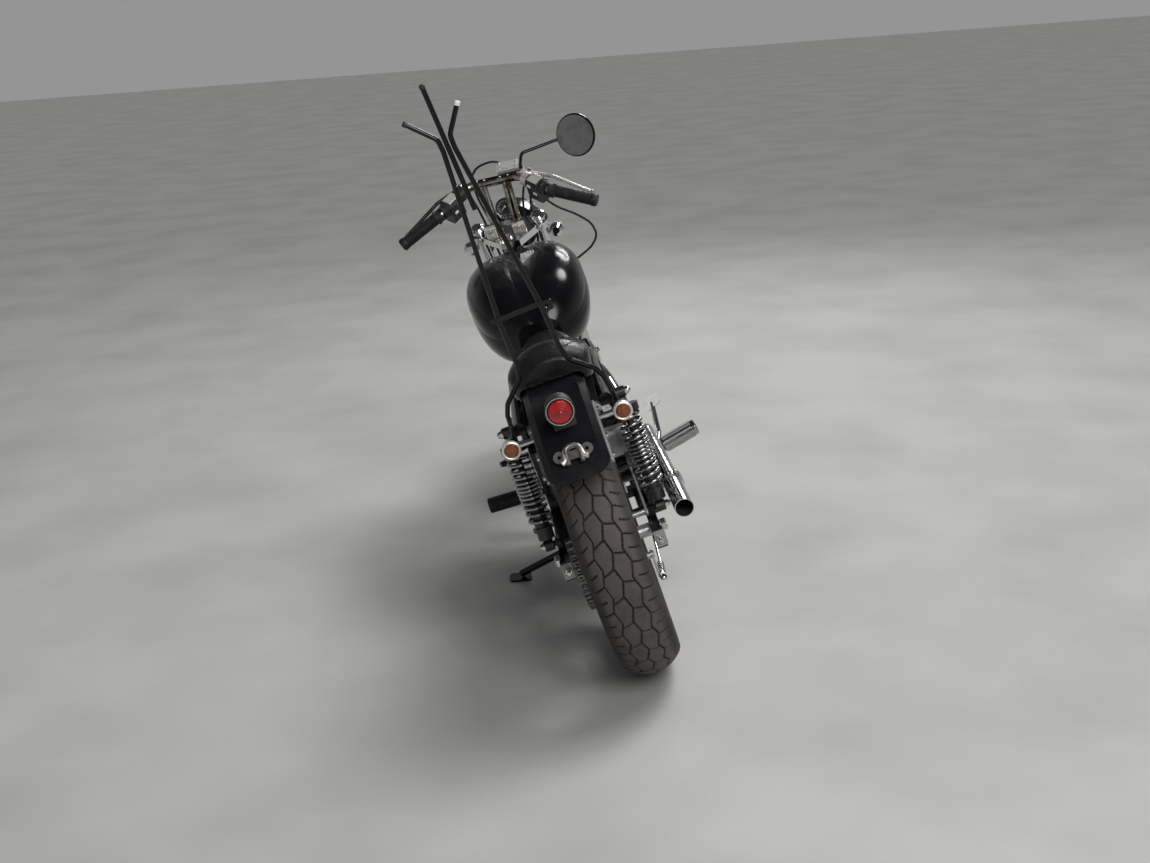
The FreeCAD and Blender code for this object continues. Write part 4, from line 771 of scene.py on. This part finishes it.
def headlight():
    """Rim of the headlight, and the shield before its bulb."""
    centre, r = Vector((0, 150, 612)), 74
    rim = [(r - 8.2, 41), (r - 7, 46.5), (r - 2, 47.5), (r + 2.2, 44), (r + 2.2, 34), (r + 0.3, 33)]
    shield = [(0, 30.6), (12, 30.6), (12, 38), (0, 39)]
    Form(FORK).lathe(rim, centre, LEVEL_AHEAD, 64).build("headlight_rim", "chrome")
    Form(FORK).lathe(shield, centre, LEVEL_AHEAD).build("headlight_bulb_shield", "chrome")


# Seat

def apply_modifier(piece, name):
    with bpy.context.temp_override(object=piece, active_object=piece):
        bpy.ops.object.modifier_apply(modifier=name)


def seat():
    """Saddle that swells from a slimmer copy of its solid, with a piped seam round its top."""
    mesh = NODES["seat"].data.copy()
    mesh.name = "saddle"
    piece = add_object("saddle", mesh)
    bpy.context.view_layer.objects.active = piece
    remesh = piece.modifiers.new("remesh", "REMESH")
    remesh.mode = "VOXEL"
    remesh.voxel_size = 0.0055
    smooth = piece.modifiers.new("smooth", "SMOOTH")
    smooth.factor, smooth.iterations = 0.5, 9
    shrink = piece.modifiers.new("shrink", "DISPLACE")
    shrink.strength, shrink.mid_level = -0.0025, 0.0
    for name in ("remesh", "smooth", "shrink"):
        apply_modifier(piece, name)
    swell(piece)
    subdivide = piece.modifiers.new("subdivide", "SUBSURF")
    subdivide.levels = subdivide.render_levels = 1
    apply_modifier(piece, "subdivide")
    piece.data.materials.clear()
    piece.data.materials.append(MATERIALS["leather"])
    piece.data.shade_smooth()
    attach(piece, "chassis")
    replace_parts(piece, "seat")
    seat_seam(piece)


def swell(piece):
    """Blows the pad up a little with a cloth simulation, and caps how far each point moves."""
    rest = [v.co.copy() for v in piece.data.vertices]
    cap_below, cap_above, steps = 0.002, 0.006, 20
    cloth = piece.modifiers.new("cloth", "CLOTH")
    cloth.settings.use_pressure = True
    cloth.settings.uniform_pressure_force = 4
    cloth.settings.effector_weights.gravity = 0
    scene = bpy.context.scene
    for step in range(1, steps + 1):
        scene.frame_set(step)
    shown = piece.evaluated_get(bpy.context.evaluated_depsgraph_get()).to_mesh()
    swollen = [v.co.copy() for v in shown.vertices]
    piece.modifiers.remove(cloth)
    down = (LEANED.to_3x3() @ Z) * -1
    for v, a, b in zip(piece.data.vertices, rest, swollen):
        move = b - a
        cap = cap_below if v.normal.dot(down) > 0.3 else cap_above
        v.co = a + (move if move.length < cap else move.normalized() * cap)
    scene.frame_set(1)


def seat_seam(piece):
    """Piping laid on the saddle along a line inside its outline."""
    back = BIKE.inverted()
    tree = BVHTree.FromPolygons([back @ v.co for v in piece.data.vertices],
                                [tuple(p.vertices) for p in piece.data.polygons])
    plan = [(46, -34), (66, 0), (74, 60), (90, 170), (83, 260), (52, 380), (26, 448)]
    above = Vector((8, 0, 900))
    right = [Vector((x, y, 0)) for x, y in plan]
    outline = [above + p for p in right] + [above + on_side(p, -1) for p in reversed(right)]
    line = []
    for a, b in zip(outline, outline[1:] + outline[:1]):
        count = max(2, int((b - a).length / 9))
        for i in range(count):
            hit = tree.ray_cast(a.lerp(b, i / count), -Z)[0]
            if hit:
                line.append(hit + Z * 0.4)
    for _ in range(4):
        line = [(line[i - 1] + line[i] * 2 + line[(i + 1) % len(line)]) / 4
                for i in range(len(line))]
    Form().tube(line, 2.0, 8, True).build("saddle_piping", "leather", angle=60)


# Handlebar

def grips():
    """Ribbed rubber grips, with a collar inward and a rounded end outward."""
    near, far = on_line(BAR_BEND, BAR_END, 15), on_line(BAR_END, BAR_BEND, -6)
    length = (far - near).length
    ribs = 20
    pitch = (length - 26) / ribs
    profile = [(13.2, 0), (20, 0), (20.5, 2), (20, 4.5), (16.8, 6)]
    for k in range(ribs):
        h = 8 + pitch * k
        profile += [(15.4, h), (16.6, h + pitch * 0.2), (16.6, h + pitch * 0.75),
                    (15.4, h + pitch * 0.9)]
    profile += [(16.6, length - 16), (17.6, length - 13), (17.6, length - 4),
                (15, length + 0.5), (6, length + 1), (0, length + 1)]
    form = Form(FORK)
    for side in SIDES:
        form.lathe(profile, on_side(near, side), on_side(far - near, side), 28)
    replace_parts(form.build("ribbed_grips", "rubber", angle=40), "grips")


def bar_fittings():
    """Bolts, buttons, lever ends and cable ends along the bar, and what the fork carries."""
    bolts, knobs, caps, yokes, boots = (Form(FORK) for _ in range(5))
    outward = (BAR_BEND - BAR_TOP).normalized()
    aside = Vector((outward.y, -outward.x, 0)).normalized()
    middle = on_line(BAR_TOP, BAR_BEND, 72)
    for side in SIDES:
        bolts.bolt((104 * side, 66, 886.4), Z, 5.5, 4)
        for ahead, tilt, r in ((10, 0.55, 4.5), (1, 0.0, 3.4), (-8, -0.5, 4.0)):
            way = Z * sin(tilt) - aside * cos(tilt)
            spot = middle + outward * ahead + way * 20.4
            knobs.lathe([(r, 0), (r, 3), (r - 1, 4), (0, 4)], on_side(spot, side),
                        on_side(way, side), 14)
        end, inner = Vector((262 * side, -16, 832)), Vector((250 * side, -8.6, 836.2))
        caps.lathe([(0, -7), (4.5, -6), (7.2, -2), (7.2, 2), (4.5, 6), (0, 7)], end,
                   end - inner, 20)
        for y in (66, 86):
            bolts.socket_screw((51 + 24 * side, y, 917), Z, 3, 2.4)
        for x in (22, 44):
            bolts.socket_screw((x * side, BAR_TOP.y - 4, 892), Z, 4, 4)
        for z, r in ((716, 5), (491, 5.5)):
            yokes.bolt(((YOKE_HALF - 10) * side, 63, z), Y, r, 5)
        boots.lathe([(17.4, 346), (20, 346), (24, 340), (27.5, 334), (27.5, 326), (26.2, 326)],
                    (YOKE_HALF * side, YOKE_OFFSET, 0), Z, 32)
    bolts.bolt((36, 92, 898), Y, 6.5, 4)
    bolts.lathe([(9, 0), (9, 4), (7, 6), (0, 6)], (0, 0, 734), Z, 6)
    bolts.build("bar_bolts", "bolt")
    knobs.build("switch_buttons", "plastic")
    caps.build("lever_balls", "aluminium")
    yokes.build("yoke_bolts", "bolt")
    boots.build("fork_boots", "rubber")
    ends = Form(FORK)
    for spot, way in (((-96, 81, 869), (0, 1, -0.4)), ((124, 17, 856), (0.1, 0.1, -1)),
                      ((84, 64.3, 854), (-0.4, 0.1, -1)), ((98, 50.5, 854), (-0.2, 0.3, -1))):
        ends.lathe([(4.6, -3), (4.6, 9), (3.8, 10), (3.8, 20), (3.3, 21)], spot, way, 12)
    ends.build("cable_ends", "bolt")


def speedometer_face():
    """Dial with its ticks, needle and rim on the instrument's end."""
    centre, way = Vector((0, 101, 718)), Vector((0, -0.35, 0.94)).normalized()
    turn = Z.rotation_difference(way).to_matrix()
    face = [(0, 39.2), (24, 39.2), (24, 39.9), (0, 39.9)]
    Form(FORK).lathe(face, centre, way, 40).build("dial_face", "dial")
    marks = Form(FORK)
    needle = (225, 40.6, 0, 16, 1.35, 0.36, 0.5)
    ticks = [(225 - 15 * k, 39.9, 17.5 if k % 2 else 15.5, 21.5, 0.5, 0.5, 0.3)
             for k in range(19)]
    for angle, high, near, far, near_half, far_half, thick in [*ticks, needle]:
        out = turn @ Vector((cos(radians(angle)), sin(radians(angle)), 0))
        across = way.cross(out)
        a, b = (centre + way * high + out * r for r in (near, far))
        marks.slab([a - across * near_half, b - across * far_half, b + across * far_half,
                    a + across * near_half], way * thick)
    marks.lathe([(3, 40), (3, 41.6), (0, 42)], centre, way, 14)
    marks.build("dial_marks", "cap_plastic")
    rim = [(23.4, 39), (24.2, 42.6), (27, 42.6), (29, 40), (29, 34), (28.2, 33)]
    Form(FORK).lathe(rim, centre, way, 40).build("dial_rim", "chrome")


def rounded_box(form, centre, axes, halves, corner):
    """Block along three axes, with its four long edges cut off."""
    (a, b, c), (u, v, w) = axes, halves
    outline = [centre - a * u + b * x + c * z for x, z in (
        (v - corner, w), (v, w - corner), (v, corner - w), (v - corner, -w), (corner - v, -w),
        (-v, corner - w), (-v, w - corner), (corner - v, w))]
    form.slab(outline, a * 2 * u)


def switch_housings():
    """Switch boxes round the bar, with bright lids whose pale colour also paints the highlight on
    their tops, and the buttons on their rear faces.
    """
    boxes, lids, buttons = Form(FORK), Form(FORK), Form(FORK)
    length = (BAR_BEND - BAR_TOP).length - 94
    for side in SIDES:
        top, bend, end = (on_side(p, side) for p in (BAR_TOP, BAR_BEND, BAR_END))
        out = (bend - top).normalized()
        up = (Z - out * out.z).normalized()
        back = up.cross(out) * -side
        axes = (out, back, up)
        middle = on_line(top, bend, 72)
        rounded_box(boxes, middle - up * 16, axes, (23, 21.5, 33), 7)
        boxes.lathe([(20, 0), (20, 8), (18, 10), (18, length), (0, length)], middle + out * 22, out)
        boxes.lathe([(18, 0), (18, 12), (20, 13), (20, 17), (13.2, 17)], bend, end - bend)
        # Pale metal lid on the box's top: a cover, whose pale colour is also a painted highlight on
        # that top.
        rounded_box(lids, middle + up * 19 - out * 2, axes, (18, 15, 2.4), 2)
        for outward, rise in ((-9, 6), (9, -14)):
            rounded_box(buttons, middle + out * outward + up * rise + back * 22.5, axes,
                        (5.5, 2.4, 4), 1.5)
    rounded_box(boxes, Vector((51, 76, 897)), (X, Y, Z), (30.5, 15.5, 6), 3)
    rounded_box(lids, Vector((50, 76, 910)), (X, Y, Z), (31, 16, 6), 3)
    boxes.build("switch_boxes", "plastic")
    lids.build("switch_lids", "bezel")
    buttons.build("switch_keys", "cap_plastic")


def riser_clamps():
    """Bright blocks behind the risers with their round bolts, and the yoke's pinch bolts."""
    yoke_top = 728.6
    blocks, bolts = Form(FORK), Form(FORK)
    for x, half, high in ((-46, 15, 22), (34, 17, 18)):
        rounded_box(blocks, Vector((x, 4, yoke_top + high)), (X, Y, Z), (half, 8, high), 4)
        for z in (738, yoke_top + high * 1.5):
            bolts.lathe([(6.2, 0), (6.2, 3), (4.6, 4.4), (3, 4.4), (3, 2.2), (0, 2.2)],
                        (x, -4, z), -Y, 20)
    for side in SIDES:
        bolts.lathe([(9, -2), (9, 3), (7.6, 4.4), (4.2, 4.4), (4.2, 1.6), (0, 1.6)],
                    (YOKE_HALF * side, YOKE_OFFSET - 26, 716), -Y, 20)
    blocks.build("riser_blocks", "bezel")
    bolts.build("riser_bolts", "bolt")


# Engine and exhaust

def case_screws():
    """Screws round the two engine covers, and in the round caps on them."""
    screws = Form()
    for outline, x, side in ((COVER_LEFT, -132, -1), (COVER_RIGHT, 118, 1)):
        corners = [Vector((x, y, z)) for y, z in outline]
        centre = sum(corners, Vector((0, 0, 0))) / len(corners)
        for a, b in zip(corners, corners[1:] + corners[:1]):
            for t in (0.2, 0.7):
                screws.socket_screw(centre.lerp(a.lerp(b, t), 0.88), X * side, 4.5, 5)
    for centre, side, r in (((-138, 655, 325), -1, 48), ((128, 610, 325), 1, 58)):
        for spot in ring_spots(centre, r, 5, 0.5):
            screws.socket_screw(spot, X * side, 4, 5)
    screws.build("case_screws", "bolt")


def cylinder_fittings():
    """Pushrod tubes, head bolts, spark plugs and plug leads of both cylinders."""
    tubes, heads, plugs = Form(), Form(), Form()
    for angle, reach in ((30, 40), (-30, 20)):
        place = Matrix.Translation(CRANK) @ Matrix.Rotation(radians(angle), 4, "X")
        up = place.to_3x3() @ Z
        for y in (-14, 14):
            bends = ((72, y * 1.3, 84), (72, y * 1.1, 150), (64, y, 226))
            line = [place @ Vector(p) for p in bends]
            tubes.tube(line, 7, 14)
            for end, way in ((line[0], up), (line[2], -up)):
                tubes.lathe([(9.5, -5), (9.5, 7), (7.2, 9)], end, way, 16)
        for x in (-42, 42):
            for y in (-32, 32):
                heads.bolt(place @ Vector((x * 1.15, y * 1.16, 248)), up, 6, 6)
            heads.bolt(place @ Vector((x * 0.85, 0, 272)), up, 5.5, 4)
        side = place @ Vector((-66, 0, 222))
        out = place.to_3x3() @ Vector((-1, 0, 0.5))
        plugs.lathe([(6, -6), (7.5, 0), (7.5, 12), (6.4, 14), (6.4, 34), (4, 38), (0, 38)], side,
                    out, 16)
        start = side + out.normalized() * 34
        goal = Vector((-30, start.y + reach, 628))
        middle = (start + goal) / 2 + Vector((-22, 0, 14))
        plugs.tube([start.lerp(middle, t).lerp(middle.lerp(goal, t), t)
                    for t in (k / 14 for k in range(15))], 3.6)
    heads.build("head_bolts", "bolt")
    tubes.build("pushrod_tubes", "chrome")
    plugs.build("plug_leads", "rubber")


def air_cleaner_fittings():
    """Bolt of the round air cleaner, and the louvres about its edge."""
    centre, tilt, louvres = Vector((92, 620, 577)), radians(9.6), 18
    outward = Vector((cos(tilt), 0, sin(tilt)))
    turn = Z.rotation_difference(outward).to_matrix()
    Form().bolt(centre + outward * 30, outward, 6, 5).build("air_cleaner_bolt", "bolt")
    slots = Form()
    for k in range(louvres):
        t = 2 * pi * k / louvres
        side = turn @ Vector((cos(t), sin(t), 0))
        across, high = outward.cross(side) * 4.4, outward * 8
        p = centre + side * 41.3 + high
        slots.slab([p - across, p + across, p + across + high, p - across + high], side * 0.9)
    slots.build("air_cleaner_louvres", "soot")


def exhaust_fittings():
    """Soot in the end of the tailpipe, and the clamp at its front."""
    back = (TIP_END - TIP_START).normalized()
    inside = [(20.1, 0.5), (20.1, -100), (0, -100)]
    Form().lathe(inside, TIP_END, back, 32).build("tailpipe_soot", "soot")
    clamp, spot = Form(), TIP_START + back * 6
    clamp.bolt(spot + Vector((14, 0, 22)), Vector((0.5, 0, 1)), 5, 5)
    clamp.tube([spot + Vector((20, 0, 14)), spot + Vector((14, 0, 26))], 4, 8)
    for t in (-5, 17):
        clamp.lathe([(25.1, -1), (25.8, 0), (25.1, 1)], TIP_START + back * t, back, 40)
    clamp.build("pipe_clamp", "bolt")


# Frame, fender and controls

def rear_fittings():
    """Bolts of the fender's stays, and the chain adjusters and nuts about the axle."""
    bolts, plates, nuts = Form(), Form(), Form()
    for side in SIDES:
        way = X * side
        for y, z in ((-60, 634), (-97, 636), (-168, 605), (-205, 573)):
            bolts.bolt((73.5 * side, y, z), way, 5, 4)
        bolts.bolt((118 * side, -96.3, 631), -Y, 5, 4)
        plates.slab([(x * side, -72, REAR_Z + z) for x, z in
                     ((96, -19), (119, -19), (119, 19), (96, 19))], (0, -3, 0))
        plates.slab([(119.2 * side, y, REAR_Z + z) for y, z in
                     ((-70, -18), (-24, -18), (-24, 18), (-70, 18))], way * 1.8)
        screw_end = (107 * side, -75, REAR_Z)
        nuts.lathe([(5, 0), (5, 16), (4, 17), (0, 17)], screw_end, -Y, 16)
        nuts.lathe([(9, 0), (9, 6), (7.6, 7), (0, 7)], screw_end, -Y, 6)
        nuts.lathe([(15, 0), (15, 9), (13, 11), (0, 11)], (121 * side, 0, REAR_Z), way, 6)
        nuts.lathe([(13, 0), (13, 7), (11, 9), (0, 9)], (131 * side, 430, 330), way, 6)
    bolts.build("stay_bolts", "bolt")
    plates.build("axle_adjusters", "satin_grey")
    nuts.build("axle_nuts", "bolt")


def fender_fittings():
    """Bright bow on the plate bracket, and the fender's rivets."""
    out, down = radial(radians(137.5)), radial(radians(227.5))
    face = FENDER_C + out * (FENDER_R + 8)
    arch = [face + X * (16 * cos(t)) - down * (11 * sin(t) + 5) + out * 5
            for t in (pi * k / 12 for k in range(13))]
    arch = ([arch[0] + down * 22 + X * 12, arch[0] + down * 17 + X * 3] + arch
            + [arch[-1] + down * 17 - X * 3, arch[-1] + down * 22 - X * 12])
    Form().tube(arch, 5.5, 12).build("bracket_arch", "bezel", angle=60)
    rivets = Form()
    for side in SIDES:
        for a in (50, 78, 106, 134):
            way = radial(radians(a))
            spot = FENDER_C + X * 49.92 * side + way * FENDER_R
            rivets.lathe([(4.5, 0), (4.2, 1.6), (0, 2.2)], spot, way, 14)
    rivets.build("fender_rivets", "satin_black")


def back_rest_caps():
    """Caps on the three rods of the back rest, which stands a little askew."""
    foot = Vector((0, 0, 640))
    askew = Matrix.Rotation(radians(-2.5), 3, "Y")
    rods = (("left", "plastic", (-61, 1341), (-13, 1288)),
            ("right", "cap_plastic", (51, 1340), (13, 1288)),
            ("middle", "plastic", (0, 1394), (0, 1340)))
    for name, look, tip, root in rods:
        end, start = (foot + askew @ Vector((4 + x, -84 - 0.13 * (z - foot.z), z - foot.z))
                      for x, z in (tip, root))
        cap = Form().lathe([(5.9, -6), (5.9, 0.5), (4.6, 2.4), (0, 3)], end, end - start, 20)
        cap.build("back_rest_cap_" + name, look)


def filler_cover():
    """Ribbed cover beside the tank's filler."""
    cover, middle = Form(), Vector((35, 712, 855))
    rounded_box(cover, middle, (Y, X, Z), (22, 21, 10), 4)
    for k in range(-2, 3):
        rounded_box(cover, middle + X * 8 * k + Z * 10.5, (Y, X, Z), (19, 2.6, 1.8), 1)
    cover.build("filler_cover", "bezel")


def brake_fittings():
    """Brake rod with its nut, clevis and spring, and the bolts of the front caliper."""
    rod = Form().tube([(86, -12, 200), (90, 60, 204), (100, 320, 222), (106, 505, 232)], 3.6, 12)
    rod.lathe([(8, 0), (8, 10), (6, 12), (0, 12)], (85, -28, 199), Y, 8)
    rod.tube([(85, -40, 199), (86, -12, 200)], 3.4)
    rod.lathe([(9, 0), (9, 12), (0, 12)], (112, 505, 232), -X, 12)
    rod.build("brake_rod", "chrome")
    coil = helix((86.3, -5, 200.4), (89, 46, 203.3), 6.5, 7, 12)
    Form().tube(coil, 1.3, 6).build("brake_rod_spring", "bolt", angle=60)
    bolts = Form(FORK)
    for y, z in ((-40, 72), (-40, 106), (-8, 100)):
        bolts.socket_screw((88, y, z), X, 5, 5)
    bolts.build("caliper_bolts", "bolt")


def pegs_and_pedals():
    """Sleeves of the foot pegs, pad of the brake pedal and rubber of the gear lever."""
    # The right sleeve takes the chrome darkened with painted shade, as the coils do.
    pegs = (("left_peg_rubber", "rubber", -1, 3, 92),
            ("right_peg_rubber", "chrome_with_painted_shade", 1, 11, 103))
    for name, look, side, rise, length in pegs:
        way = Vector((cos(radians(rise)) * side, 0, sin(radians(rise))))
        start = Vector((198 * side, 600, 280))
        profile = [(16.6, 3), (20.5, 5), (20.5, length - 9), (20.9, length - 8),
                   (20.3, length - 3), (17.6, length - 0.5), (0, length + 0.6)]
        Form().lathe(profile, start, way, 36).build(name, look, angle=40)
        if side > 0:
            peg_ribs(start, way, length)
    wide, deep = Vector((21, 0, 8)), Vector((3, -9, -11.5))
    up = -wide.cross(deep).normalized()
    corners = [Vector((212, 750, 358)) + wide * u + deep * v + up * 0.2
               for u, v in ((-0.8, -1), (0.8, -1), (1, -0.7), (1, 0.7), (0.8, 1), (-0.8, 1),
                            (-1, 0.7), (-1, -0.7))]
    Form().slab(corners, up * 1.6).build("pedal_pad", "cap_plastic")
    profile = [(8, 0)]
    for k in range(9):
        profile += [(8.2, 4 + 8 * k), (9.6, 5 + 8 * k), (9.6, 9 + 8 * k), (8.2, 10 + 8 * k)]
    profile += [(8.2, 80), (7, 84.5), (0, 86.5)]
    Form().lathe(profile, (-152, 766, 330), -X, 22).build("gear_rubber", "rubber", angle=40)


def peg_ribs(start, way, length):
    """Ribs that run along a peg's sleeve."""
    ribs, count = Form(), 12
    across = way.cross(Y).normalized()
    for k in range(count):
        turn = 2 * pi * k / count
        out = Y * cos(turn) + across * sin(turn)
        edge = out.cross(way) * 2.6
        foot = start + way * 8 + out * 20.2
        crest = foot + out * 2.2
        ribs.slab([foot - edge, foot + edge, crest + edge * 0.7, crest - edge * 0.7],
                  way * (length - 20))
    ribs.build("peg_ribs", "satin_grey", angle=40)


add_camera()
add_floor()
add_world()
add_light("key", (1.7, 0.7, 4.0), 1.3, 52)
add_light("fill", (1.0, -3.8, 2.8), 2.2, 76)
add_light("front", (1.3, 3.4, 2.8), 1.3, 45)
add_sun(1.4)
bpy.context.scene.view_settings.view_transform = "Standard"

make_materials()
dress_nodes()
tyres()
wheel_fittings()
chain()
springs()
tail_lamp()
signals()
headlight()
seat()
grips()
bar_fittings()
speedometer_face()
switch_housings()
riser_clamps()
case_screws()
cylinder_fittings()
air_cleaner_fittings()
exhaust_fittings()
rear_fittings()
fender_fittings()
back_rest_caps()
filler_cover()
brake_fittings()
pegs_and_pedals()
